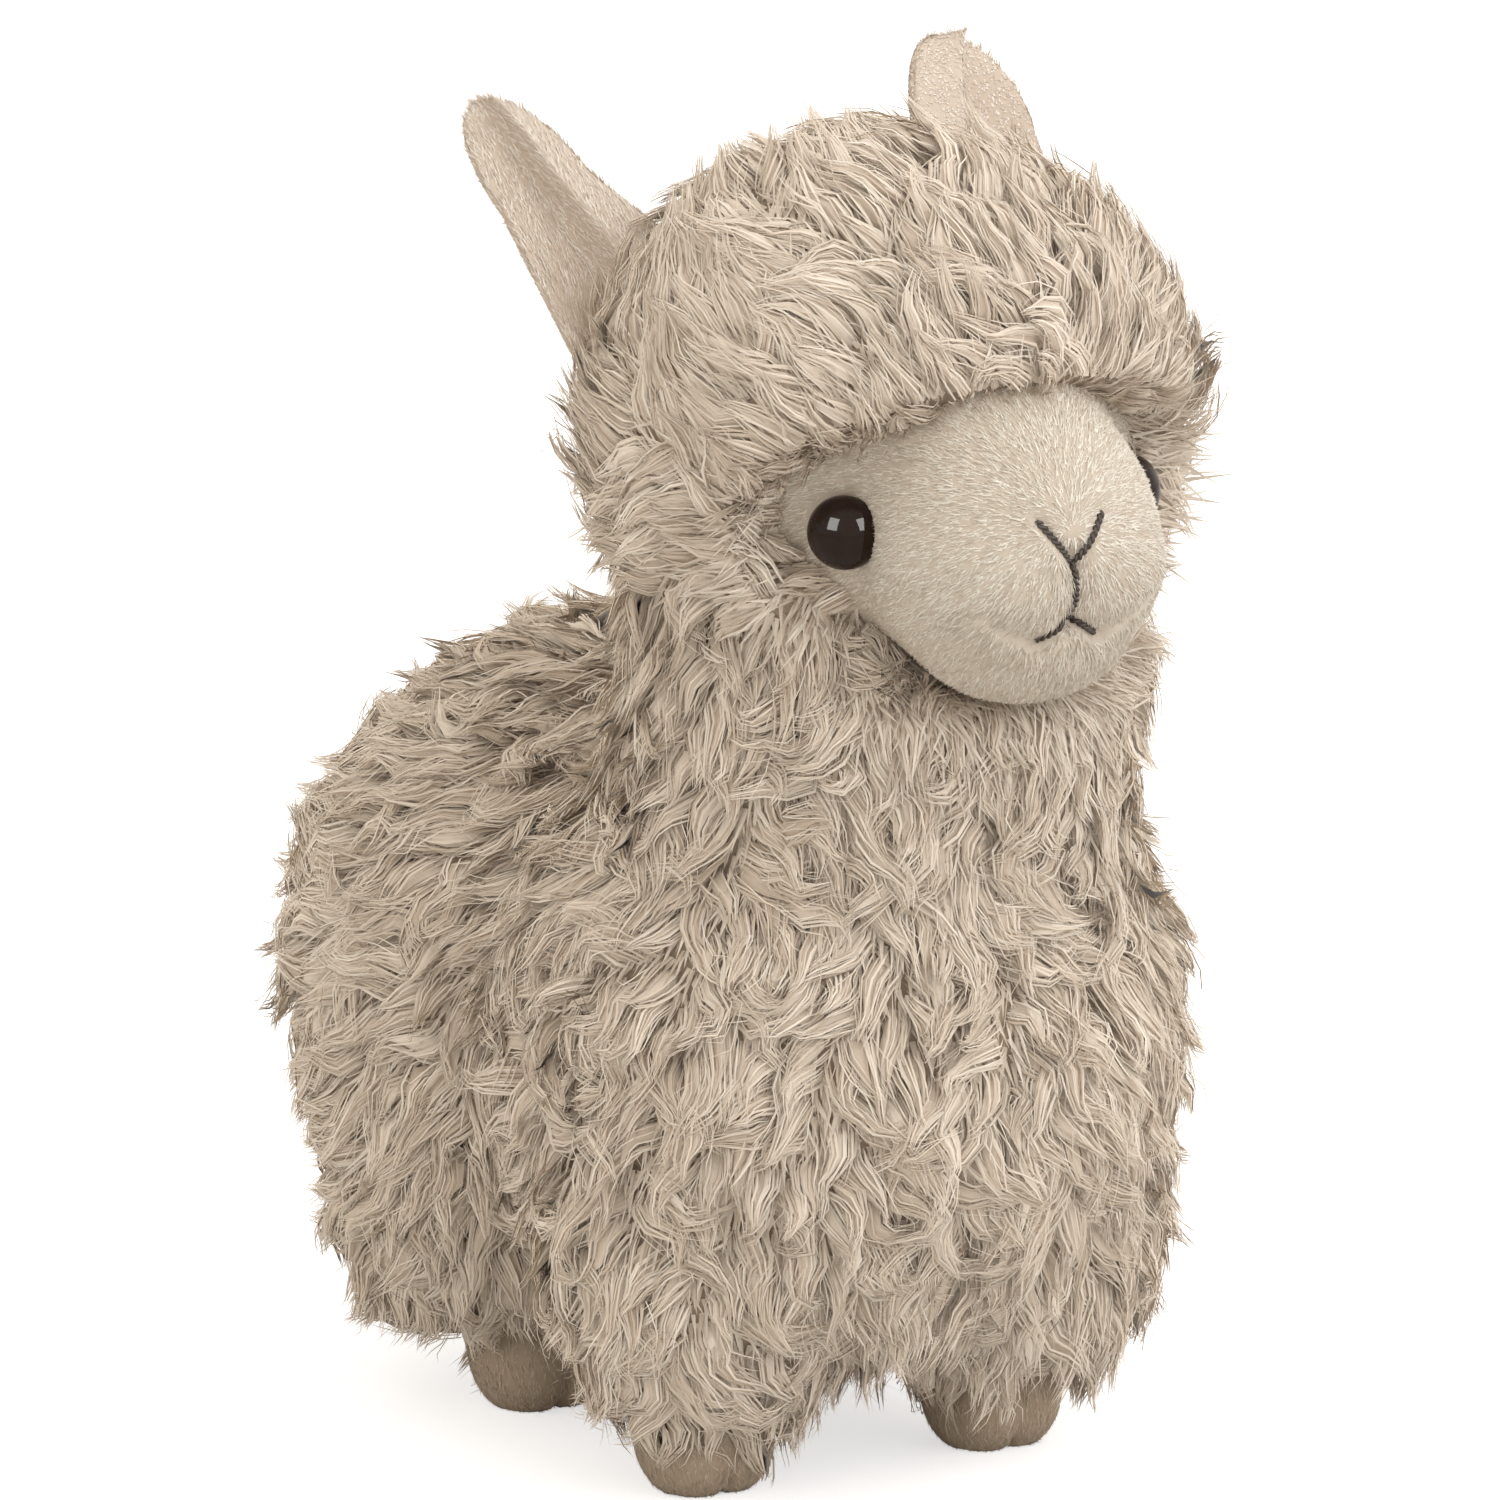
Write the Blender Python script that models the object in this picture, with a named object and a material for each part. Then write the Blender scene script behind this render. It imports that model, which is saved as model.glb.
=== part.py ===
"""A plush llama, 22 cm tall, standing on four feet. Metres, +Z up, facing -Y, its own left at +X.

Every size below is measured from the line under the front feet, and FRONT_FEET_Y places that line in the
part's frame, whose origin is on the ground under the middle of the toy.
"""

import math

import bmesh
import bpy
import numpy as np
from mathutils import Vector

FRONT_FEET_Y = -0.0256
GAP = 0.0003
SIDES = {"left": 1, "right": -1}

# Torso cover: two stuffed balls of curly fleece, the rump behind and the chest in front.
TORSO_MIDDLE = (0, 0.032, 0.069)
RUMP = ((0, 0.063, 0.0695), (0.0540, 0.0540, 0.0525))
CHEST = ((0, 0.000, 0.0740), (0.0520, 0.0510, 0.0500))
TORSO_BLEND = 0.020
TORSO_CLOTH = 0.0040
TORSO_CAVITY_LEVEL = 3

# Neck sleeve: a short thick column that leans forward.
NECK_BASE = (0, -0.006, 0.100)
NECK_TOP = (0, -0.017, 0.150)
NECK_RADIUS = 0.0405
NECK_CLOTH = 0.0045
NECK_ROWS = 5
NECK_COLUMNS = 24
NECK_BORE_EXTRA = 0.010
NECK_CORE_LEVEL = 3
NECK_SEAM_POINT = (0, -0.016, 0.1440)
NECK_SEAM_NORMAL = (0, -0.150, 0.989)

# Head: a ball of fleece with an opening for the smooth face.
HEAD_MIDDLE = (0, -0.016, 0.1745)
HEAD_FLEECE_RADII = (0.0465, 0.0450, 0.0440)
HEAD_CLOTH_RADIUS = 0.0380
CLOTH = 0.0020
SLACK = 0.0008
FACE_AXIS_PITCH = math.radians(-15.5)
FACE_HALF_WIDTH = math.radians(58)
FACE_HALF_HEIGHT = math.radians(31)
FACE_BLOBS = {
    "snout": ((0, -0.0540, 0.1640), (0.0240, 0.0205, 0.0235)),
    "lip_left": ((0.0075, -0.0630, 0.1605), (0.0125, 0.0125, 0.0110)),
    "lip_right": ((-0.0075, -0.0630, 0.1605), (0.0125, 0.0125, 0.0110)),
    "chin": ((0, -0.0595, 0.1495), (0.0155, 0.0115, 0.0095)),
    "bridge": ((0, -0.0480, 0.1790), (0.0160, 0.0140, 0.0120)),
}
FACE_BLENDS = {"snout": 0.010, "lip_left": 0.005, "lip_right": 0.005, "chin": 0.005, "bridge": 0.005}
CAVITY_LEVEL = 4
HOOD_CAVITY_LEVEL = 3
FACE_LEVEL = 5

# Eyes: black domes on a shank that is locked by a washer behind the cloth.
EYE_DIRECTION = (0.640, -0.755, -0.190)
EYE_NORMAL = (0.680, -0.730, 0.030)
EYE_RADIUS = 0.0060
EYE_HEIGHT = 0.0050
SHANK_RADIUS = 0.0017
SHANK_LENGTH = 0.0095
WASHER_RADIUS = 0.0065
WASHER_THICKNESS = 0.0010
WASHER_BEHIND = 0.0042
WASHER_POCKET_DEPTH = 0.0112
SHANK_HOLE_DEPTH = 0.0120
EYE_EDGE = 0.0006
EYE_CUT_HEIGHT = 0.0040
DOME_POINTS = 6
TURNED_STEPS = 16

# Embroidered nose and mouth: ends of each long stitch as seen from the front, (x, z).
THREAD_RADIUS = 0.0006
STITCHES = {
    "nose_stitch_left": ((0.0011, 0.1654), (0.0060, 0.1722)),
    "nose_stitch_right": ((-0.0011, 0.1654), (-0.0060, 0.1722)),
    "lip_stitch": ((0, 0.1638), (0, 0.1564)),
    "mouth_stitch_left": ((0.0011, 0.1550), (0.0054, 0.1522)),
    "mouth_stitch_right": ((-0.0011, 0.1550), (-0.0054, 0.1522)),
}
STITCH_POINTS = 6
STITCH_FITS = 6
FACE_FRONT_Y = -0.0730

# Ears: two layers of short plush, cupped along their length.
EAR_BASE = (0.0290, 0.0080, 0.1840)
EAR_TIP = (0.0430, 0.0405, 0.2200)
EAR_OPENING = (0.16, -0.85, 0.50)
EAR_HALF_WIDTH_BASE = 0.0160
EAR_HALF_WIDTH_TIP = 0.0098
EAR_STRAIGHT = 0.62
EAR_END = 1.001
EAR_THINNEST = 0.05
EAR_LAYER = 0.0024
EAR_CUP_BASE = math.radians(150)
EAR_CUP_TIP = math.radians(70)
EAR_RIM = 0.0045
EAR_ROWS = 9
EAR_COLUMNS = 6

# Legs: a collar of fleece round each foot, and the foot itself in short plush.
LEG_BLEND = 0.003
TOE_BLEND = 0.006
LEGS = {
    "front": {"puff": ((0.0275, -0.004, 0.0415), (0.0235, 0.0240, 0.0295)), "foot": (0.0265, 0)},
    "rear": {"puff": ((0.0290, 0.060, 0.0390), (0.0245, 0.0250, 0.0255)), "foot": (0.0250, 0.056)},
}
TOE = ((0.0038, -0.0030, 0.0085), (0.0072, 0.0102, 0.0100))
ANKLE = ((0, 0.0005, 0.0160), (0.0098, 0.0105, 0.0140))
FOOT_MIDDLE_Z = 0.0125
FOOT_LEVEL = 3

# Tail: a small hanging tuft of fleece.
TAIL = ((0, 0.1180, 0.0780), (0.0090, 0.0080, 0.0150))

# Curly fleece: each face of the cover rises to one lock of wool, whose tip hangs down.
LOCK_HEIGHT = 0.0050
LOCK_DROOP = 0.0022
LOCK_CLEARANCE = 0.0016
LEG_LOCK_HEIGHT = 0.0045
TAIL_LOCK_HEIGHT = 0.0025
TAIL_CLEARANCE = 0.0040
TORSO_CLEARANCE = 0.0075
TORSO_CELLS = 9
HEAD_CELLS = 9
LEG_CELLS = 5
TAIL_CELLS = 4

COLOURS = {
    "fleece": (0.56, 0.47, 0.37, 1),
    "face": (0.68, 0.62, 0.51, 1),
    "foot": (0.36, 0.28, 0.20, 1),
    "eye": (0.012, 0.008, 0.006, 1),
    "thread": (0.06, 0.04, 0.03, 1),
    "washer": (0.75, 0.75, 0.72, 1),
    "stuffing": (0.85, 0.85, 0.83, 1),
}
ROUGHNESS = {"eye": 0.08, "washer": 0.45}


def clear_scene():
    for item in list(bpy.data.objects):
        bpy.data.objects.remove(item)


def link(made):
    """Puts an object in the scene, under the empty that marks the line of the front feet."""
    origin = bpy.data.objects.get("llama_origin")
    if not origin:
        origin = bpy.data.objects.new("llama_origin", None)
        origin.location = (0, FRONT_FEET_Y, 0)
        bpy.context.scene.collection.objects.link(origin)
    bpy.context.scene.collection.objects.link(made)
    made.parent = origin
    return made


def material(name):
    """One Principled material for each kind of surface."""
    made = bpy.data.materials.get(name)
    if made:
        return made
    made = bpy.data.materials.new(name)
    made.use_nodes = True
    shader = made.node_tree.nodes["Principled BSDF"]
    shader.inputs["Base Color"].default_value = COLOURS[name]
    shader.inputs["Roughness"].default_value = ROUGHNESS.get(name, 0.9)
    return made


def add_object(name, bm, finish, smooth=True):
    """Turns a bmesh into a named object with its faces pointing out."""
    bmesh.ops.recalc_face_normals(bm, faces=bm.faces)
    mesh = bpy.data.meshes.new(name)
    bm.to_mesh(mesh)
    bm.free()
    if smooth:
        mesh.shade_smooth()
    mesh.materials.append(material(finish))
    return link(bpy.data.objects.new(name, mesh))


def as_cutter(made):
    made.hide_render = True
    made.display_type = "WIRE"
    return made


def boolean(target, other, operation="DIFFERENCE"):
    modifier = target.modifiers.new(operation.lower() + "_" + other.name, "BOOLEAN")
    modifier.operation = operation
    modifier.object = other
    modifier.solver = "EXACT"


def unit(vector):
    vector = np.array(vector, float)
    return vector / np.linalg.norm(vector)


def mirrored(point, side):
    return (point[0] * side, point[1], point[2])


# Distance fields, negative inside, in metres

def ellipsoid(points, blob):
    centre, radii = (np.array(x, float) for x in blob)
    offset = points - centre
    scaled = np.linalg.norm(offset / radii, axis=1)
    slope = np.maximum(np.linalg.norm(offset / radii**2, axis=1), 1e-9)
    return scaled * (scaled - 1) / slope


def capsule(points, start, end, radius):
    start, end = np.array(start, float), np.array(end, float)
    along = end - start
    share = np.clip((points - start) @ along / (along @ along), 0, 1)
    return np.linalg.norm(points - start - share[:, None] * along, axis=1) - radius


def blend(a, b, reach):
    """The union of two fields, with a fillet about as wide as reach."""
    share = np.clip(0.5 + 0.5 * (b - a) / reach, 0, 1)
    return b * (1 - share) + a * share - reach * share * (1 - share)


def torso_field(points):
    return blend(ellipsoid(points, RUMP), ellipsoid(points, CHEST), TORSO_BLEND)


def neck_field(points):
    return capsule(points, NECK_BASE, NECK_TOP, NECK_RADIUS)


def head_fleece_field(points):
    return ellipsoid(points, (HEAD_MIDDLE, HEAD_FLEECE_RADII))


def face_field(points):
    """The cloth of the head: a ball from which the snout swells."""
    radius = (HEAD_CLOTH_RADIUS,) * 3
    field = ellipsoid(points, (HEAD_MIDDLE, radius))
    for name, blob in FACE_BLOBS.items():
        field = blend(field, ellipsoid(points, blob), FACE_BLENDS[name])
    return field


def leg_field(points, leg, side):
    centre, radii = LEGS[leg]["puff"]
    return ellipsoid(points, (mirrored(centre, side), radii))


def foot_field(points, leg, side):
    """Two toes with the seam's groove between them, under a round ankle."""
    x, y = LEGS[leg]["foot"]
    place = np.array((x * side, y, 0))
    toes = [ellipsoid(points, (place + mirrored(TOE[0], toe), TOE[1])) for toe in (1, -1)]
    field = blend(toes[0], toes[1], TOE_BLEND)
    return blend(field, ellipsoid(points, (place + ANKLE[0], ANKLE[1])), LEG_BLEND)


def tail_field(points):
    return ellipsoid(points, TAIL)


def reach(middle, directions, field, grow):
    """How far a ray from middle runs before the field, grown by grow, ends."""
    near = np.zeros(len(directions))
    far = np.full(len(directions), 0.25)
    for _ in range(40):
        half = (near + far) / 2
        inside = field(middle + directions * half[:, None]) < grow
        near = np.where(inside, half, near)
        far = np.where(inside, far, half)
    return near


def star_mesh(middle, field, subdivisions, grow=0.0):
    """An icosphere whose points are pushed out along their rays to the field's surface."""
    middle = np.array(middle, float)
    bm = bmesh.new()
    bmesh.ops.create_icosphere(bm, subdivisions=subdivisions, radius=1)
    directions = np.array([unit(v.co) for v in bm.verts])
    distances = reach(middle, directions, field, grow)
    for vertex, direction, distance in zip(bm.verts, directions, distances):
        vertex.co = Vector(middle + direction * distance)
    return bm


def quad_star_mesh(middle, field, cells):
    """Like star_mesh, from a cube of which each face has cells by cells squares."""
    middle = np.array(middle, float)
    bm = bmesh.new()
    bmesh.ops.create_cube(bm, size=2)
    bmesh.ops.subdivide_edges(bm, edges=bm.edges, cuts=cells - 1, use_grid_fill=True)
    square = np.array([v.co for v in bm.verts])
    evened = np.tan(square * math.pi / 4)
    directions = evened / np.linalg.norm(evened, axis=1)[:, None]
    distances = reach(middle, directions, field, 0.0)
    for vertex, direction, distance in zip(bm.verts, directions, distances):
        vertex.co = Vector(middle + direction * distance)
    return bm


def cut_by_plane(bm, point, normal):
    """Takes away what lies beyond the plane and closes the cut."""
    geometry = bm.verts[:] + bm.edges[:] + bm.faces[:]
    cut = bmesh.ops.bisect_plane(bm, geom=geometry, plane_co=point, plane_no=normal, clear_outer=True)
    rim = [x for x in cut["geom_cut"] if isinstance(x, bmesh.types.BMEdge)]
    bmesh.ops.contextual_create(bm, geom=rim)


def raise_locks(bm, neighbours, height=LOCK_HEIGHT, clearance=LOCK_CLEARANCE):
    """Pokes each face into one lock of wool, apart from faces that a neighbouring piece lies against."""
    bm.normal_update()
    bm.faces.ensure_lookup_table()
    centres = np.array([f.calc_center_median() for f in bm.faces])
    normals = np.array([f.normal for f in bm.faces])
    free = np.ones(len(centres), bool)
    for lift in (0, height):
        for neighbour in neighbours:
            free &= neighbour(centres + normals * lift) > clearance
    faces = [f for f, is_free in zip(bm.faces, free) if is_free]
    tips = bmesh.ops.poke(bm, faces=faces, offset=height)["verts"]
    for tip in tips:
        tip.co.z -= LOCK_DROOP
    bmesh.ops.triangulate(bm, faces=bm.faces)
    return bm


# The covers and what they hold

def face_cone(name, widen):
    """A cone from the middle of the head that marks out the face opening."""
    length = 0.09
    steps = 40
    axis = Vector((0, -math.cos(FACE_AXIS_PITCH), math.sin(FACE_AXIS_PITCH)))
    up = Vector((0, math.sin(FACE_AXIS_PITCH), math.cos(FACE_AXIS_PITCH)))
    width = length * math.tan(FACE_HALF_WIDTH + widen)
    tall = length * math.tan(FACE_HALF_HEIGHT + widen)
    bm = bmesh.new()
    top = bm.verts.new(Vector(HEAD_MIDDLE))
    ring = []
    for i in range(steps):
        turn = 2 * math.pi * i / steps
        side = Vector((width * math.cos(turn), 0, 0)) + up * (tall * math.sin(turn))
        ring.append(bm.verts.new(Vector(HEAD_MIDDLE) + axis * length + side))
    bm.faces.new(ring)
    for i in range(steps):
        bm.faces.new((ring[i], ring[(i + 1) % steps], top))
    return as_cutter(add_object(name, bm, "face", smooth=False))


def make_torso():
    """Fleece cover, open at the neck, over one filling of stuffing that runs up the neck."""
    legs = [lambda p, l=l, s=s: leg_field(p, l, s) for l in LEGS for s in SIDES.values()]
    feet = [lambda p, l=l, s=s: foot_field(p, l, s) for l in LEGS for s in SIDES.values()]
    bm = quad_star_mesh(TORSO_MIDDLE, torso_field, TORSO_CELLS)
    raise_locks(bm, [neck_field, tail_field] + legs + feet, clearance=TORSO_CLEARANCE)
    cover = add_object("torso_fleece", bm, "fleece")

    cavity = star_mesh(TORSO_MIDDLE, torso_field, TORSO_CAVITY_LEVEL, -TORSO_CLOTH)
    cavity = as_cutter(add_object("torso_cavity", cavity, "stuffing"))
    throat = as_cutter(neck_core("throat_cutter", 0.0))
    boolean(cover, cavity)
    boolean(cover, throat)

    filling = star_mesh(TORSO_MIDDLE, torso_field, TORSO_CAVITY_LEVEL, -TORSO_CLOTH - 2 * GAP)
    filling = add_object("torso_stuffing", filling, "stuffing")
    core = as_cutter(neck_core("neck_filling", SLACK))
    boolean(filling, core, "UNION")


def neck_core(name, shrink):
    """The round filling of the neck, from inside the torso up to the neck seam."""
    radius = NECK_RADIUS - NECK_CLOTH - shrink
    bm = star_mesh(NECK_TOP, lambda p: capsule(p, NECK_BASE, NECK_TOP, radius), NECK_CORE_LEVEL)
    cut_by_plane(bm, Vector(NECK_SEAM_POINT), Vector(NECK_SEAM_NORMAL))
    return add_object(name, bm, "stuffing")


def neck_column(radius, rows, columns, extend=0.0):
    """A closed column of quads along the neck, from its base to the neck seam or past it by extend."""
    base, top = Vector(NECK_BASE), Vector(NECK_TOP)
    along = (top - base).normalized()
    across = Vector((1, 0, 0))
    ahead = along.cross(across)
    seam_point, seam_normal = Vector(NECK_SEAM_POINT), Vector(NECK_SEAM_NORMAL)
    bm = bmesh.new()
    rings = []
    for i in range(rows + 1):
        ring = []
        for j in range(columns):
            turn = 2 * math.pi * (j + 0.5 * (i % 2)) / columns
            low = base + (across * math.cos(turn) + ahead * math.sin(turn)) * radius
            length = (seam_point - low).dot(seam_normal) / along.dot(seam_normal) + extend
            ring.append(bm.verts.new(low + along * (length * i / rows)))
        rings.append(ring)
    for lower, upper in zip(rings, rings[1:]):
        for j in range(columns):
            k = (j + 1) % columns
            bm.faces.new((lower[j], lower[k], upper[k], upper[j]))
    bm.faces.new(rings[0][::-1])
    bm.faces.new(rings[-1])
    return bm


def make_neck():
    """A sleeve of fleece between the torso and the head."""
    bm = neck_column(NECK_RADIUS, NECK_ROWS, NECK_COLUMNS)
    raise_locks(bm, [seam_side, torso_field])
    sleeve = add_object("neck_fleece", bm, "fleece")
    boolean(sleeve, torso_envelope())
    bore = neck_column(NECK_RADIUS - NECK_CLOTH, 1, NECK_COLUMNS, NECK_BORE_EXTRA)
    boolean(sleeve, as_cutter(add_object("neck_bore", bore, "stuffing")))


def seam_side(points):
    """Distance below the neck seam, so that no lock of the neck reaches into the head."""
    return (np.array(NECK_SEAM_POINT) - points) @ np.array(NECK_SEAM_NORMAL)


def torso_envelope():
    """The torso's outside with a gap, which the parts on it are cut by."""
    made = bpy.data.objects.get("torso_envelope")
    if made:
        return made
    bm = star_mesh(TORSO_MIDDLE, torso_field, CAVITY_LEVEL, 2 * GAP)
    return as_cutter(add_object("torso_envelope", bm, "stuffing"))


def above_neck_seam(bm):
    """Keeps what lies above the neck seam, a gap clear of the neck."""
    normal = Vector(NECK_SEAM_NORMAL)
    cut_by_plane(bm, Vector(NECK_SEAM_POINT) + normal * GAP, -normal)
    return bm


def make_head():
    """A hood of fleece, the smooth face in its opening, and the stuffing behind both."""
    cavity = star_mesh(HEAD_MIDDLE, face_field, CAVITY_LEVEL, -CLOTH)
    cavity = as_cutter(add_object("head_cavity", cavity, "stuffing"))
    hood_cavity = star_mesh(HEAD_MIDDLE, face_field, HOOD_CAVITY_LEVEL, -CLOTH + SLACK)
    hood_cavity = as_cutter(add_object("hood_cavity", hood_cavity, "stuffing"))

    bm = quad_star_mesh(HEAD_MIDDLE, head_fleece_field, HEAD_CELLS)
    raise_locks(bm, [face_opening_field] + [lambda p, s=s: ear_space_field(p, s) for s in SIDES.values()])
    hood = add_object("head_fleece", above_neck_seam(bm), "fleece")
    boolean(hood, face_cone("face_opening", 0.0))
    boolean(hood, hood_cavity)

    face = add_object("face_panel", above_neck_seam(star_mesh(HEAD_MIDDLE, face_field, FACE_LEVEL)), "face")
    boolean(face, cavity)
    boolean(face, face_cone("face_outline", -GAP / HEAD_CLOTH_RADIUS), "INTERSECT")

    filling = above_neck_seam(star_mesh(HEAD_MIDDLE, face_field, CAVITY_LEVEL, -CLOTH - SLACK))
    filling = add_object("head_stuffing", filling, "stuffing")
    return face, filling


def ear_space_field(points, side):
    """The room round an ear, which the locks of the hood keep clear of."""
    return capsule(points, mirrored(EAR_BASE, side), mirrored(EAR_TIP, side), EAR_HALF_WIDTH_BASE + GAP)


def face_opening_field(points):
    """Below zero where a point, seen from the middle of the head, lies inside the face opening."""
    offset = points - np.array(HEAD_MIDDLE)
    cos, sin = math.cos(FACE_AXIS_PITCH), math.sin(FACE_AXIS_PITCH)
    ahead = np.maximum(-offset[:, 1] * cos + offset[:, 2] * sin, 1e-6)
    rise = offset[:, 1] * sin + offset[:, 2] * cos
    across = offset[:, 0] / math.tan(FACE_HALF_WIDTH)
    upward = rise / math.tan(FACE_HALF_HEIGHT)
    outside = np.sqrt(across**2 + upward**2) / ahead - 1
    return np.where(offset[:, 1] * cos - offset[:, 2] * sin < 0, outside * HEAD_CLOTH_RADIUS, 1.0)


def turned(name, profile, middle, normal, finish):
    """A round piece: a profile of (radius, height) spun about its axis, then set on normal at middle."""
    bm = bmesh.new()
    verts = [bm.verts.new((radius, 0, height)) for radius, height in profile]
    edges = [bm.edges.new(pair) for pair in zip(verts, verts[1:])]
    bmesh.ops.spin(bm, geom=verts + edges, axis=(0, 0, 1), cent=(0, 0, 0), angle=2 * math.pi, steps=TURNED_STEPS)
    bmesh.ops.remove_doubles(bm, verts=bm.verts, dist=1e-6)
    made = add_object(name, bm, finish)
    made.rotation_mode = "QUATERNION"
    made.rotation_quaternion = Vector(normal).to_track_quat("Z", "Y")
    made.location = middle
    return made


def make_eyes(face, filling):
    for name, side in SIDES.items():
        direction = unit(mirrored(EYE_DIRECTION, side))
        normal = unit(mirrored(EYE_NORMAL, side))
        distance = reach(np.array(HEAD_MIDDLE), direction[None], face_field, 0.0)[0]
        seat = np.array(HEAD_MIDDLE) + direction * distance
        foot = seat + normal * 2 * GAP

        dome = [(0, EYE_HEIGHT)]
        for turn in np.linspace(0, math.pi / 2, DOME_POINTS)[1:]:
            dome.append((EYE_RADIUS * math.sin(turn), EYE_HEIGHT * math.cos(turn)))
        shank = [(EYE_RADIUS - EYE_EDGE, -GAP), (SHANK_RADIUS, -GAP)]
        shank += [(SHANK_RADIUS, -SHANK_LENGTH), (0, -SHANK_LENGTH)]
        turned("eye_" + name, dome + shank, foot, normal, "eye")

        cuts = {
            "shank_hole_": (face, SHANK_RADIUS + GAP, EYE_CUT_HEIGHT, -SHANK_HOLE_DEPTH),
            "eye_seat_": (face, EYE_RADIUS + 2 * GAP, EYE_CUT_HEIGHT, -2 * GAP),
            "washer_room_": (face, WASHER_RADIUS + GAP, GAP - WASHER_BEHIND, -WASHER_POCKET_DEPTH),
            "washer_pocket_": (filling, WASHER_RADIUS + GAP, EYE_CUT_HEIGHT, -WASHER_POCKET_DEPTH),
        }
        for label, (cloth, radius, top, bottom) in cuts.items():
            profile = [(0, top), (radius, top), (radius, bottom), (0, bottom)]
            boolean(cloth, as_cutter(turned(label + name, profile, foot, normal, "eye")))

        inner, behind = SHANK_RADIUS + GAP, -WASHER_BEHIND
        under = behind - WASHER_THICKNESS
        ring = [(inner, behind), (WASHER_RADIUS, behind), (WASHER_RADIUS, under), (inner, under), (inner, behind)]
        turned("eye_washer_" + name, ring, foot, normal, "washer")


def make_stitches():
    """Each long stitch is a thread that lies on the face."""
    for name, (start, end) in STITCHES.items():
        share = np.linspace(0, 1, STITCH_POINTS)[:, None]
        aim = np.array(start) * (1 - share) + np.array(end) * share
        middle = np.array(HEAD_MIDDLE)
        points = np.column_stack([aim[:, 0], np.full(STITCH_POINTS, FACE_FRONT_Y), aim[:, 1]])
        for _ in range(STITCH_FITS):
            directions = points - middle
            directions /= np.linalg.norm(directions, axis=1)[:, None]
            distances = reach(middle, directions, face_field, THREAD_RADIUS + GAP)
            points[:, 1] = (middle + directions * distances[:, None])[:, 1]
        curve = bpy.data.curves.new(name, "CURVE")
        curve.dimensions = "3D"
        curve.bevel_depth = THREAD_RADIUS
        curve.bevel_resolution = 2
        curve.use_fill_caps = True
        spline = curve.splines.new("POLY")
        spline.points.add(len(points) - 1)
        for spot, point in zip(spline.points, points):
            spot.co = (*point, 1)
        curve.materials.append(material("thread"))
        link(bpy.data.objects.new(name, curve))


def ear_frame(side):
    """Base, tip and the three directions of an ear: along it, across it and out of its hollow."""
    base = np.array(mirrored(EAR_BASE, side))
    tip = np.array(mirrored(EAR_TIP, side))
    along = unit(tip - base)
    opening = np.array(mirrored(EAR_OPENING, side))
    opening = unit(opening - along * (opening @ along))
    across = np.cross(along, opening) * side
    return base, tip, along, across, opening


def ear_point(side, u, v, offset, thickness):
    """A point of the ear: u runs from base to tip, v across it from -1 to 1. The depth into the hollow
    is offset, plus a thickness that thins out towards the rim."""
    base, tip, along, across, opening = ear_frame(side)
    length = np.linalg.norm(tip - base)
    taper = min(u / EAR_STRAIGHT, 1)
    half = EAR_HALF_WIDTH_BASE * (1 - taper) + EAR_HALF_WIDTH_TIP * taper
    if u > EAR_STRAIGHT:
        half *= math.sqrt(1 - ((u - EAR_STRAIGHT) / (EAR_END - EAR_STRAIGHT)) ** 2)
    cup = EAR_CUP_BASE * (1 - u) + EAR_CUP_TIP * u
    radius = half / math.sin(min(cup / 2, math.pi / 2))
    angle = v * cup / 2
    spread = np.array((math.sin(angle), 1 - math.cos(angle))) * radius
    thin = math.sqrt(max(1 - abs(v) ** 6, EAR_THINNEST)) * min(1, half / EAR_RIM)
    inward = np.array((-math.sin(angle), math.cos(angle))) * (offset + thickness * thin)
    across_by, open_by = spread + inward
    return base + along * (u * length) + across * across_by + opening * open_by


def ear_layer(name, side, face_out, finish):
    """One layer of an ear as a closed sheet, on the inner or the outer side of the seam."""
    bm = bmesh.new()
    sheets = []
    offset = face_out * GAP / 2
    for thickness in sorted((0, face_out * EAR_LAYER)):
        grid = []
        for i in range(EAR_ROWS + 1):
            row = []
            for j in range(EAR_COLUMNS + 1):
                spot = ear_point(side, i / EAR_ROWS, 2 * j / EAR_COLUMNS - 1, offset, thickness)
                row.append(bm.verts.new(Vector(spot)))
            grid.append(row)
        sheets.append(grid)
    below, above = sheets
    for grid, turn in ((below, 1), (above, -1)):
        for i in range(EAR_ROWS):
            for j in range(EAR_COLUMNS):
                corners = (grid[i][j], grid[i][j + 1], grid[i + 1][j + 1], grid[i + 1][j])
                bm.faces.new(corners[::turn])
    border = [(0, j) for j in range(EAR_COLUMNS)]
    border += [(i, EAR_COLUMNS) for i in range(EAR_ROWS)]
    border += [(EAR_ROWS, j) for j in range(EAR_COLUMNS, 0, -1)]
    border += [(i, 0) for i in range(EAR_ROWS, 0, -1)]
    for (i, j), (k, m) in zip(border, border[1:] + border[:1]):
        bm.faces.new((below[i][j], above[i][j], above[k][m], below[k][m]))
    return add_object(name, bm, finish)


def make_ears():
    """Both ears, cut off where they enter the fleece of the head."""
    envelope = star_mesh(HEAD_MIDDLE, head_fleece_field, CAVITY_LEVEL, 2 * GAP)
    envelope = as_cutter(add_object("head_envelope", envelope, "stuffing"))
    for name, side in SIDES.items():
        outer = ear_layer("ear_outer_" + name, side, -1, "face")
        lining = ear_layer("ear_lining_" + name, side, 1, "face")
        boolean(outer, envelope)
        boolean(lining, envelope)


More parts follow.
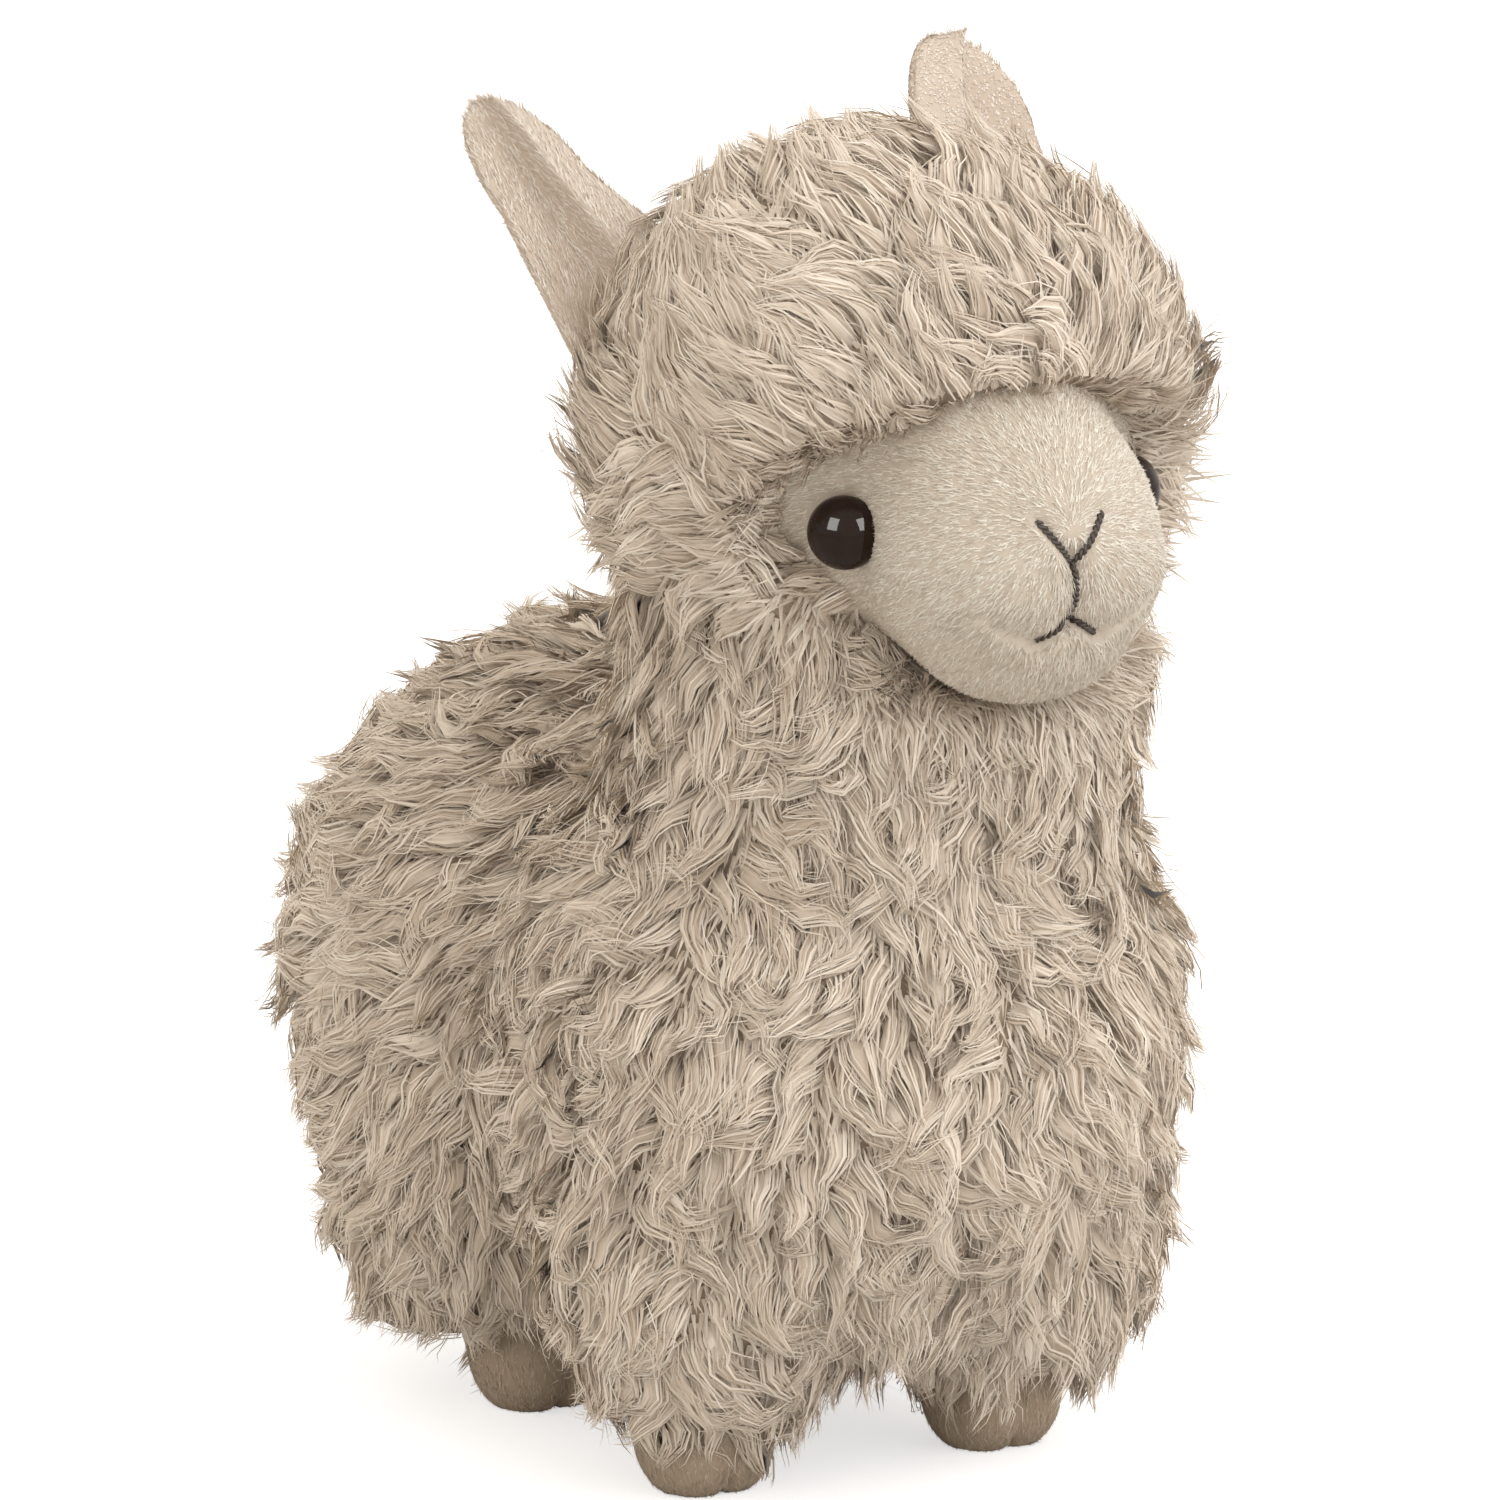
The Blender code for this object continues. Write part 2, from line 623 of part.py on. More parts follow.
def make_legs():
    """A collar of fleece round each foot, both fitted to the underside of the torso."""
    envelope = torso_envelope()
    for leg in LEGS:
        for name, side in SIDES.items():
            x, y = LEGS[leg]["foot"]
            foot_middle = (x * side, y, FOOT_MIDDLE_Z)
            bm = star_mesh(foot_middle, lambda p: foot_field(p, leg, side), FOOT_LEVEL)
            cut_by_plane(bm, Vector((0, 0, 0)), Vector((0, 0, -1)))
            foot = add_object(f"{leg}_{name}_foot", bm, "foot")
            boolean(foot, envelope)

            bm = star_mesh(foot_middle, lambda p: foot_field(p, leg, side), FOOT_LEVEL, GAP)
            foot_space = as_cutter(add_object(f"{leg}_{name}_foot_space", bm, "foot"))
            centre = mirrored(LEGS[leg]["puff"][0], side)
            bm = quad_star_mesh(centre, lambda p: leg_field(p, leg, side), LEG_CELLS)
            neighbours = [lambda p: torso_field(p) - LOCK_HEIGHT, lambda p: foot_field(p, leg, side)]
            raise_locks(bm, neighbours, LEG_LOCK_HEIGHT)
            collar = add_object(f"{leg}_{name}_leg_fleece", bm, "fleece")
            boolean(collar, envelope)
            boolean(collar, foot_space)


def make_tail():
    bm = quad_star_mesh(TAIL[0], tail_field, TAIL_CELLS)
    raise_locks(bm, [lambda p: torso_field(p) - LOCK_HEIGHT], TAIL_LOCK_HEIGHT, TAIL_CLEARANCE)
    tail = add_object("tail_fleece", bm, "fleece")
    boolean(tail, torso_envelope())


def main():
    clear_scene()
    make_torso()
    make_neck()
    face, filling = make_head()
    make_eyes(face, filling)
    make_stitches()
    make_ears()
    make_legs()
    make_tail()


main()
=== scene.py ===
"""The looks of a plush llama: curly fleece over a stuffed body, a short-pile face, ears and feet.

Sizes are in metres. Places are measured from the line under the front feet, as on the solids, and
FRONT_FEET moves them into the part's frame.
"""

import functools
import math

import bpy
import numpy as np
from mathutils import Matrix, Vector
from mathutils.kdtree import KDTree
from numpy.linalg import norm
from numpy.random import default_rng


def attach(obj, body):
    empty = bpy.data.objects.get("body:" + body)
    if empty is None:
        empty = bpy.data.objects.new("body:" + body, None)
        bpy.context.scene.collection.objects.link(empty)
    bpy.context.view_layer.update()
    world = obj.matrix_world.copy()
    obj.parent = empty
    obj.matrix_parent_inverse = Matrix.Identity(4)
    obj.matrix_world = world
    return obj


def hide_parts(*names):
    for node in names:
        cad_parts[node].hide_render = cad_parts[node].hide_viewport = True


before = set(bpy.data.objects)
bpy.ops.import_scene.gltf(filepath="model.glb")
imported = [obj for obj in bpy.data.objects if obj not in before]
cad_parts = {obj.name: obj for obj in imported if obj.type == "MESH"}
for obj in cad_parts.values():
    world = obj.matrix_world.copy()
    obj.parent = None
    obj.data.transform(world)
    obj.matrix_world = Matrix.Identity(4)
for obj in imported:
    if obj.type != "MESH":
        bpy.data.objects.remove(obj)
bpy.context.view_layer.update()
SCENE = bpy.context.scene

FRONT_FEET = np.array((0, -0.0256, 0))
SIDES = {"left": 1, "right": -1}

FIELD_STEP = 0.0004

# The stuffed forms, as on the solids
TORSO_MIDDLE = (0, 0.032, 0.069)
RUMP = ((0, 0.063, 0.0695), (0.0540, 0.0540, 0.0525))
CHEST = ((0, 0.000, 0.0740), (0.0520, 0.0510, 0.0500))
TORSO_BLEND = 0.020
NECK_BASE = (0, -0.006, 0.100)
NECK_TOP = (0, -0.017, 0.150)
NECK_RADIUS = 0.0385
NECK_SEAM_POINT = (0, -0.016, 0.1440)
NECK_SEAM_NORMAL = (0, -0.150, 0.989)
NECK_SEAM_BLEND = 0.006
HEAD_MIDDLE = np.array((0, -0.016, 0.1745))
HEAD_FLEECE = (HEAD_MIDDLE, (0.0465, 0.0450, 0.0440))
HEAD_CLOTH_RADIUS = 0.0380
RIM_DROP = 0.0080
RIM_WIDTH = 0.0090
UNDER_FACE_DROP = 0.0060
FACE_AXIS_PITCH = math.radians(-15.5)
FACE_HALF_WIDTH = math.radians(58)
FACE_HALF_HEIGHT = math.radians(31)
CHEEK_LOCKS_BELOW = math.radians(22)
FACE_BLOBS = (
    ((0, -0.0540, 0.1640), (0.0240, 0.0205, 0.0235)),
    ((0.0075, -0.0630, 0.1605), (0.0125, 0.0125, 0.0110)),
    ((-0.0075, -0.0630, 0.1605), (0.0125, 0.0125, 0.0110)),
    ((0, -0.0595, 0.1495), (0.0155, 0.0115, 0.0095)),
    ((0, -0.0480, 0.1790), (0.0160, 0.0140, 0.0120)),
)
FACE_BLEND = 0.005
FACE_CENTRE = np.array((0, -0.052, 0.168))
SNOUT_BLEND = 0.010
NOSE_BRIDGE = (0, -0.075, 0.170)
LEGS = {
    "front": {"puff": ((0.0275, -0.004, 0.0415), (0.0235, 0.0240, 0.0295)), "foot": (0.0265, 0)},
    "rear": {"puff": ((0.0290, 0.060, 0.0390), (0.0245, 0.0250, 0.0255)), "foot": (0.0250, 0.056)},
}
TOE = ((0.0038, -0.0030, 0.0085), (0.0072, 0.0102, 0.0100))
ANKLE = ((0, 0.0005, 0.0160), (0.0098, 0.0105, 0.0140))
FOOT_MIDDLE = 0.0125
FOOT_COMBING = (0, -0.35, -1)
TOE_BLEND = 0.006
ANKLE_BLEND = 0.003
SEAM_DEPTH = 0.0007
SEAM_WIDTH = 0.0009
TAIL = ((0, 0.1180, 0.0780), (0.0090, 0.0080, 0.0150))
EYE_DIRECTION = (0.640, -0.755, -0.190)
EYE_NORMAL = (0.680, -0.730, 0.030)
EYE_RADIUS = 0.0060
EYE_HEIGHT = 0.0050
EYE_LIFT = 0.0009
EYE_EDGE = ((EYE_RADIUS, -0.0003), (EYE_RADIUS - 0.0004, -0.0009), (0.0002, -0.0010))
EYE_PILE_GAP = 0.0002
EYE_SOCKET_DEPTH = 0.0010
EYE_SOCKET_WIDTH = 0.0085
EAR_BASE = (0.0290, 0.0080, 0.1840)
EAR_TIP = (0.0430, 0.0405, 0.2200)
EAR_OPENING = (0.16, -0.85, 0.50)
EAR_HALF_WIDTH_BASE = 0.0162
EAR_HALF_WIDTHS_TIP = {1: 0.0108, -1: 0.0088}
EAR_LAYER = 0.0024
EAR_CUP_BASE = math.radians(150)
EAR_CUP_TIP = math.radians(70)
EAR_RIM = 0.0045
EAR_STRAIGHT = 0.62
EAR_FOLD_PLACE = -0.50
EAR_FOLD_WIDTH = 0.42
EAR_FOLD_HEIGHT = 0.0050
EAR_DIMPLE = 0.0016
EAR_EDGES = {1: (1, -0.12), -1: (-1, 0.15)}
# Tones of the ear lining: painted shade in the hollow, painted light on the rolled fold
EAR_HOLLOW_PAINTED_SHADE = -0.15
EAR_FOLD_PAINTED_LIGHT = 0.5
STITCHES = {
    "nose_stitch_left": ((0.0004, 0.1648), (0.0060, 0.1722)),
    "nose_stitch_right": ((-0.0004, 0.1648), (-0.0060, 0.1722)),
    "lip_stitch": ((0, 0.1650), (0, 0.1558)),
    "mouth_stitch_left": ((0.0002, 0.1556), (0.0054, 0.1522)),
    "mouth_stitch_right": ((-0.0002, 0.1556), (-0.0054, 0.1522)),
}
THREAD_RADIUS = 0.0006
THREAD_PITCH = 0.0022
THREAD_STEPS = 40
THREAD_PLIES = 2
THREAD_SIDES = 7

# Sizes of the fleece, where the pelt is the skin of all the fleece forms together
PELT_BLEND = 0.008
PELT_BOX = ((-0.062, -0.070, 0.008), (0.062, 0.130, 0.225))
PELT_SAMPLES = 900000
PELT_REACH = 0.004
PELT_STEPS = 5
PELT_EXACT = 0.0003
RAGGED_EDGE = 0.0011
MUZZLE_STARTS = 0.0015
FACE_EDGE_WIDTH = 0.012
LOCK_SPACING = 0.0040
LOWEST_TIP = 0.0003
LOCK_STATIONS = 6
LOCK_LENGTH = (0.0105, 0.0160)
LOCK_RISE = (0.0030, 0.0056)
LOCK_WIDTH = (0.0025, 0.0037)
ROOT_DEPTH = 0.0008
FLARE = 0.0060
FLARED_SHARE = 0.45
TOES_KEPT_CLEAR = ((0, -0.0090, 0.0110), (0.0105, 0.0115, 0.0150))
EYE_KEPT_CLEAR = 0.0024
TONE_SPREAD = 0.32
CORE_SIDES = 4
CORE_WIDTH = 0.60
STRANDS = 23
STRAND_WIDTH = 0.00034
STRAND_REACH = 2.1
STRAND_TWIST = 0.7
LOOSE_SHARE = 0.16
UNDERCOAT = 42000
UNDERCOAT_WIDTH = 0.00095
TUFT_SIZE = 0.0125
GATHER = 55.0


def unit(vectors):
    vectors = np.asarray(vectors, float)
    return vectors / np.maximum(norm(vectors, axis=-1, keepdims=True), 1e-12)


def mirrored(point, side):
    return (point[0] * side, point[1], point[2])


def smoothstep(low, high, value):
    share = np.clip((value - low) / (high - low), 0, 1)
    return share * share * (3 - 2 * share)


# Distance fields, negative inside

def ellipsoid(points, blob):
    centre, radii = (np.array(x, float) for x in blob)
    offset = points - centre
    scaled = norm(offset / radii, axis=1)
    slope = np.maximum(norm(offset / radii**2, axis=1), 1e-9)
    return scaled * (scaled - 1) / slope


def capsule(points, start, end, radius):
    start, end = np.array(start, float), np.array(end, float)
    along = end - start
    share = np.clip((points - start) @ along / (along @ along), 0, 1)
    return norm(points - start - share[:, None] * along, axis=1) - radius


def blend(a, b, width):
    """The union of two fields, rounded over the given width where they meet."""
    share = np.clip(0.5 + 0.5 * (b - a) / width, 0, 1)
    return b * (1 - share) + a * share - width * share * (1 - share)


def torso_field(points):
    return blend(ellipsoid(points, RUMP), ellipsoid(points, CHEST), TORSO_BLEND)


def neck_field(points):
    """The neck's column, which ends under the chin."""
    column = capsule(points, NECK_BASE, NECK_TOP, NECK_RADIUS)
    above = (points - np.array(NECK_SEAM_POINT)) @ np.array(NECK_SEAM_NORMAL)
    return -blend(-column, -above, NECK_SEAM_BLEND)


def face_opening_field(points, half_height_below=FACE_HALF_HEIGHT):
    """How far outside the face opening a point lies, seen from the middle of the head."""
    offset = points - HEAD_MIDDLE
    cos, sin = math.cos(FACE_AXIS_PITCH), math.sin(FACE_AXIS_PITCH)
    ahead = -offset[:, 1] * cos + offset[:, 2] * sin
    rise = offset[:, 1] * sin + offset[:, 2] * cos
    across = offset[:, 0] / math.tan(FACE_HALF_WIDTH)
    upward = rise / np.where(rise > 0, math.tan(FACE_HALF_HEIGHT), math.tan(half_height_below))
    outside = np.sqrt(across**2 + upward**2) / np.maximum(ahead, 1e-6) - 1
    return np.where(ahead > 0, np.minimum(outside * HEAD_CLOTH_RADIUS, 1.0), 1.0)


def bare_face_field(points):
    """As face_opening_field, for the part of the face that the cheek locks leave bare."""
    return face_opening_field(points, CHEEK_LOCKS_BELOW)


def head_fleece_field(points):
    """The hood, which thins out to the cloth of the head at the edge of the face."""
    rim = 1 - smoothstep(0, RIM_WIDTH, face_opening_field(points))
    return ellipsoid(points, HEAD_FLEECE) + RIM_DROP * rim


def head_backing_field(points):
    """The hood's cloth, which ends under the edge of the face."""
    under_face = smoothstep(0.0030, 0.0005, face_opening_field(points))
    return head_fleece_field(points) + UNDER_FACE_DROP * under_face


def face_field(points):
    field = ellipsoid(points, (HEAD_MIDDLE, (HEAD_CLOTH_RADIUS,) * 3))
    field = blend(field, ellipsoid(points, FACE_BLOBS[0]), SNOUT_BLEND)
    for blob in FACE_BLOBS[1:]:
        field = blend(field, ellipsoid(points, blob), FACE_BLEND)
    return field


def leg_field(points, leg, side):
    centre, radii = LEGS[leg]["puff"]
    return ellipsoid(points, (mirrored(centre, side), radii))


def foot_field(points, leg, side):
    x, y = LEGS[leg]["foot"]
    place = np.array((x * side, y, 0))
    toes = [ellipsoid(points, (place + mirrored(TOE[0], toe), TOE[1])) for toe in (1, -1)]
    field = blend(toes[0], toes[1], TOE_BLEND)
    return blend(field, ellipsoid(points, (place + ANKLE[0], ANKLE[1])), ANKLE_BLEND)


def tail_field(points):
    return ellipsoid(points, TAIL)


FLEECES = {"torso": torso_field, "neck": neck_field, "head": head_fleece_field, "tail": tail_field}
for LEG in LEGS:
    for NAME, SIDE in SIDES.items():
        FLEECES[f"{LEG}_{NAME}_leg"] = functools.partial(leg_field, leg=LEG, side=SIDE)


def pelt_field(points):
    """All the fleece as one skin."""
    whole = None
    for field in FLEECES.values():
        value = field(points)
        whole = value if whole is None else blend(whole, value, PELT_BLEND)
    return whole


def skin_field(points):
    """The pelt and the face, which the locks lie on."""
    return blend(pelt_field(points), face_field(points), 0.002)


def gradient(field, points):
    """The field at each point and the direction in which it rises."""
    base = field(points)
    parts = [field(points + np.eye(3)[i] * FIELD_STEP) - base for i in range(3)]
    return base, unit(np.column_stack(parts))


def reach(middle, directions, field, grow=0.0):
    """How far rays from middle run before the field, grown by grow, ends."""
    near, far = np.zeros(len(directions)), np.full(len(directions), 0.25)
    for _ in range(32):
        half = (near + far) / 2
        inside = field(middle + directions * half[:, None]) < grow
        near, far = np.where(inside, half, near), np.where(inside, far, half)
    return near


def smooth_noise(points, size, seed, waves=24):
    """A smooth random value for each point, about -1 to 1, that changes over the given size."""
    rng = default_rng(seed)
    directions = unit(rng.normal(size=(waves, 3))) * rng.uniform(0.5, 1.3, (waves, 1))
    phases = rng.uniform(0, 2 * math.pi, waves)
    return np.sin(points @ directions.T * (2 * math.pi / size) + phases).sum(axis=1) / math.sqrt(waves / 2)


# Meshes from arrays

def make_mesh(name, points, triangles, uv=None, values=None, normals=None):
    """A mesh object from arrays. uv is per point, values is {attribute: one number per point}."""
    mesh = bpy.data.meshes.new(name)
    placed = (np.asarray(points) + FRONT_FEET).astype(np.float32)
    triangles = np.asarray(triangles, np.int32)
    mesh.vertices.add(len(placed))
    mesh.vertices.foreach_set("co", placed.ravel())
    mesh.loops.add(triangles.size)
    mesh.loops.foreach_set("vertex_index", triangles.ravel())
    mesh.polygons.add(len(triangles))
    mesh.polygons.foreach_set("loop_start", np.arange(0, triangles.size, 3, dtype=np.int32))
    mesh.update(calc_edges=True)
    mesh.polygons.foreach_set("use_smooth", np.ones(len(triangles), bool))
    if uv is not None:
        layer = mesh.uv_layers.new(name="along")
        layer.data.foreach_set("uv", np.asarray(uv, np.float32)[triangles.ravel()].ravel())
    for key, numbers in (values or {}).items():
        attribute = mesh.attributes.new(key, "FLOAT", "POINT")
        attribute.data.foreach_set("value", np.asarray(numbers, np.float32))
    if normals is not None:
        mesh.normals_split_custom_set_from_vertices(unit(normals).astype(np.float32).tolist())
    made = bpy.data.objects.new(name, mesh)
    SCENE.collection.objects.link(made)
    return made


def tube_triangles(rows, columns):
    """Triangles between rings of points, one ring to each row."""
    i, j = np.meshgrid(np.arange(rows - 1), np.arange(columns), indexing="ij")
    a, b = i * columns + j, i * columns + (j + 1) % columns
    c, d = b + columns, a + columns
    return np.stack([a, b, c, a, c, d], axis=-1).reshape(-1, 3)


def finish_piece(made, look):
    """Finishes a piece with look: its material, its slot and the name of the solid that it dresses. The slot
    is not used.
    """
    material, slot, node_name = look
    made.data.materials.append(material)
    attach(made, "root")
    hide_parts(node_name)
    return made


# Materials

FIBRE_STREAKS = (2200, 60, 1)
STREAK_SHARE = 0.18
TONE_SHARE = 0.22


def set_inputs(made, inputs):
    for key, value in inputs.items():
        made.inputs[key].default_value = value


def node(tree, kind, **inputs):
    made = tree.nodes.new(kind)
    set_inputs(made, inputs)
    return made


def attribute(tree, name):
    made = tree.nodes.new("ShaderNodeAttribute")
    made.attribute_name = name
    return made.outputs["Fac"]


def new_material(name, inputs):
    made = bpy.data.materials.new(name)
    made.use_nodes = True
    shader = made.node_tree.nodes["Principled BSDF"]
    set_inputs(shader, inputs)
    return made, made.node_tree, shader


def srgb(red, green, blue):
    """A colour given as seen on screen, 0 to 255, in linear light."""
    return tuple(((c / 255 + 0.055) / 1.055) ** 2.4 for c in (red, green, blue)) + (1,)


def multiply_add(tree, value, factor, added):
    made = tree.nodes.new("ShaderNodeMath")
    made.operation = "MULTIPLY_ADD"
    made.inputs[1].default_value = factor
    tree.links.new(value, made.inputs[0])
    if isinstance(added, float):
        made.inputs[2].default_value = added
    else:
        tree.links.new(added, made.inputs[2])
    return made.outputs[0]


def noise(tree, vector, **inputs):
    made = node(tree, "ShaderNodeTexNoise", **inputs)
    tree.links.new(vector, made.inputs["Vector"])
    return made.outputs["Fac"]


def emboss(tree, shader, height, strength, distance):
    bump = node(tree, "ShaderNodeBump", Strength=strength, Distance=distance)
    tree.links.new(height, bump.inputs["Height"])
    tree.links.new(bump.outputs["Normal"], shader.inputs["Normal"])


def plush(name, dark, light, tip, bump=0.10, patch=70, patch_strength=0.35):
    """Fibre cloth. Its colour runs from dark at the root of the pile to tip at its end, with fine streaks
    along the fibres and soft patches over the body. The dark roots are painted shade deep in the pile and the
    pale tips painted light."""
    made, tree, shader = new_material(name, {
        "Roughness": 0.85,
        "Specular IOR Level": 0.15,
        "Sheen Weight": 0.12,
        "Sheen Roughness": 0.5,
        "Sheen Tint": srgb(255, 244, 228),
    })
    link = tree.links.new

    uv = tree.nodes.new("ShaderNodeUVMap")
    uv.uv_map = "along"
    stretch = node(tree, "ShaderNodeMapping", Scale=FIBRE_STREAKS)
    link(uv.outputs["UV"], stretch.inputs["Vector"])
    fibres = noise(tree, stretch.outputs["Vector"], Scale=1.0, Detail=2.0, Roughness=0.6)
    place = tree.nodes.new("ShaderNodeTexCoord")
    patches = noise(tree, place.outputs["Object"], Scale=float(patch), Detail=2.0)

    ramp = tree.nodes.new("ShaderNodeValToRGB")
    ramp.color_ramp.elements[0].color = srgb(*dark)
    ramp.color_ramp.elements[1].color = srgb(*tip)
    middle = ramp.color_ramp.elements.new(0.5)
    middle.color = srgb(*light)
    # along puts the root of each fibre at the dark end of the ramp and its tip at the light end: painted
    # shade and painted light
    value = multiply_add(tree, fibres, STREAK_SHARE, attribute(tree, "along"))
    value = multiply_add(tree, patches, patch_strength, value)
    # tone differs at random from lock to lock; on the ear linings it also carries painted shade and painted
    # light, and on the face pile painted shade
    value = multiply_add(tree, attribute(tree, "tone"), TONE_SHARE, value)
    value = multiply_add(tree, value, 1.0, -(STREAK_SHARE + patch_strength) / 2)
    link(value, ramp.inputs["Fac"])
    link(ramp.outputs["Color"], shader.inputs["Base Color"])
    emboss(tree, shader, fibres, bump, 0.0003)
    return made


def plain(name, colour, roughness, grain=400, variation=0.15, bump=0.1, gloss=0.5):
    """A moulded or spun material with a little procedural variation."""
    made, tree, shader = new_material(name, {"Roughness": roughness, "Specular IOR Level": gloss})
    link = tree.links.new
    place = tree.nodes.new("ShaderNodeTexCoord")
    grains = noise(tree, place.outputs["Object"], Scale=float(grain), Detail=3.0)
    mix = tree.nodes.new("ShaderNodeMix")
    mix.data_type = "RGBA"
    for key, factor in (("A", 1 - variation), ("B", 1 + variation)):
        mix.inputs[key].default_value = tuple(min(c * factor, 1) for c in srgb(*colour)[:3]) + (1,)
    link(grains, mix.inputs["Factor"])
    link(mix.outputs["Result"], shader.inputs["Base Color"])
    emboss(tree, shader, grains, bump, 0.0001)
    return made


# Each ramp runs dark, light, tip: the darker root colour is painted shade deep in the pile, the paler tip
# colour painted light
FLEECE = plush("curly_fleece", (196, 180, 161), (219, 205, 188), (233, 222, 207), bump=0.03)
# The backing cloth is coloured darker than the fleece: painted shade for the gaps between the locks
UNDER = plush("fleece_backing", (160, 142, 122), (184, 167, 147), (200, 184, 165), bump=0.4)
FACE = plush("face_pile", (188, 174, 157), (217, 209, 195), (232, 227, 215), patch=40, patch_strength=0.2)
EAR = plush("ear_pile", (194, 178, 161), (218, 206, 193), (231, 222, 211), patch=50, patch_strength=0.2)
FOOT = plush("foot_pile", (158, 140, 120), (180, 162, 141), (198, 181, 161), patch=60, patch_strength=0.25)
EYE = plain("eye_gloss", (36, 24, 19), 0.05, variation=0.25, bump=0.0, gloss=0.17)
THREAD = plain("thread_twist", (58, 46, 34), 0.7, grain=2500, variation=0.35, bump=0.5)
WASHER = plain("washer_plastic", (235, 234, 228), 0.45)


# Fleece

def pelt_points():
    """Random points on the pelt, away from the face opening."""
    rng = default_rng(7)
    points = rng.uniform(*PELT_BOX, (PELT_SAMPLES, 3))
    points = points[np.abs(skin_field(points)) < PELT_REACH]
    for _ in range(PELT_STEPS):
        value, normal = gradient(skin_field, points)
        slope = (skin_field(points + normal * FIELD_STEP) - value) / FIELD_STEP
        points = points - normal * (value / np.maximum(slope, 0.5))[:, None]
    on_muzzle = norm(points - HEAD_MIDDLE, axis=1) > HEAD_CLOTH_RADIUS + MUZZLE_STARTS
    ragged = -0.0004 + RAGGED_EDGE * smooth_noise(points, 0.008, 12)
    bare = (bare_face_field(points) < ragged) | ((face_field(points) < 0.0004) & on_muzzle)
    return points[(np.abs(skin_field(points)) < PELT_EXACT) & ~bare]


def at_face_edge(points):
    """1 at the edge of the bare face, 0 from a little way off."""
    return 1 - smoothstep(0.0, FACE_EDGE_WIDTH, bare_face_field(points))


def pelt_roots(points):
    """Evenly spread points picked from those on the pelt, closer together at the edge of the face."""
    spacing = LOCK_SPACING * (1 + 0.12 * smooth_noise(points, 0.03, 11)) * (1 - 0.25 * at_face_edge(points))
    return points[thinned(points, spacing, default_rng(8))]


def thinned(points, spacing, rng):
    """Indices of points picked in random order so that none lies nearer to another than its spacing."""
    tree = KDTree(len(points))
    for i, point in enumerate(points):
        tree.insert(point, i)
    tree.balance()
    taken = np.zeros(len(points), bool)
    kept = []
    for i in rng.permutation(len(points)):
        if not taken[i]:
            kept.append(i)
            for _, j, _ in tree.find_range(points[i], spacing[i]):
                taken[j] = True
    return np.array(kept)


def tufts(roots, rng):
    """The tuft that each lock belongs to: its number, and the vector to its middle."""
    centres = roots[thinned(roots, np.full(len(roots), TUFT_SIZE), rng)]
    tree = KDTree(len(centres))
    for i, centre in enumerate(centres):
        tree.insert(centre, i)
    tree.balance()
    member = np.array([tree.find(root)[1] for root in roots])
    return member, centres[member] - roots


def combing(points):
    """The way the fleece is combed: away from the face over the head, down the neck and the sides, and
    back over the rump."""
    from_face = unit(points - FACE_CENTRE)
    on_head = smoothstep(0.145, 0.160, points[:, 2])[:, None]
    behind = smoothstep(0.000, 0.030, points[:, 1])[:, None]
    back = smoothstep(0.010, 0.060, points[:, 1]) * smoothstep(0.13, 0.10, points[:, 2])
    body = np.column_stack([np.zeros(len(points)), 0.55 * back, -np.ones(len(points))])
    lift = 0.75 * smoothstep(0.160, 0.182, points[:, 2])[:, None]
    from_face = unit(from_face + np.array((-0.22, 0, 0)) + lift * np.array((0, 0, 1)))
    crown = from_face * (1 - behind) + np.array((0, 0.6, -0.8)) * behind
    return unit(crown * on_head + body * (1 - on_head))


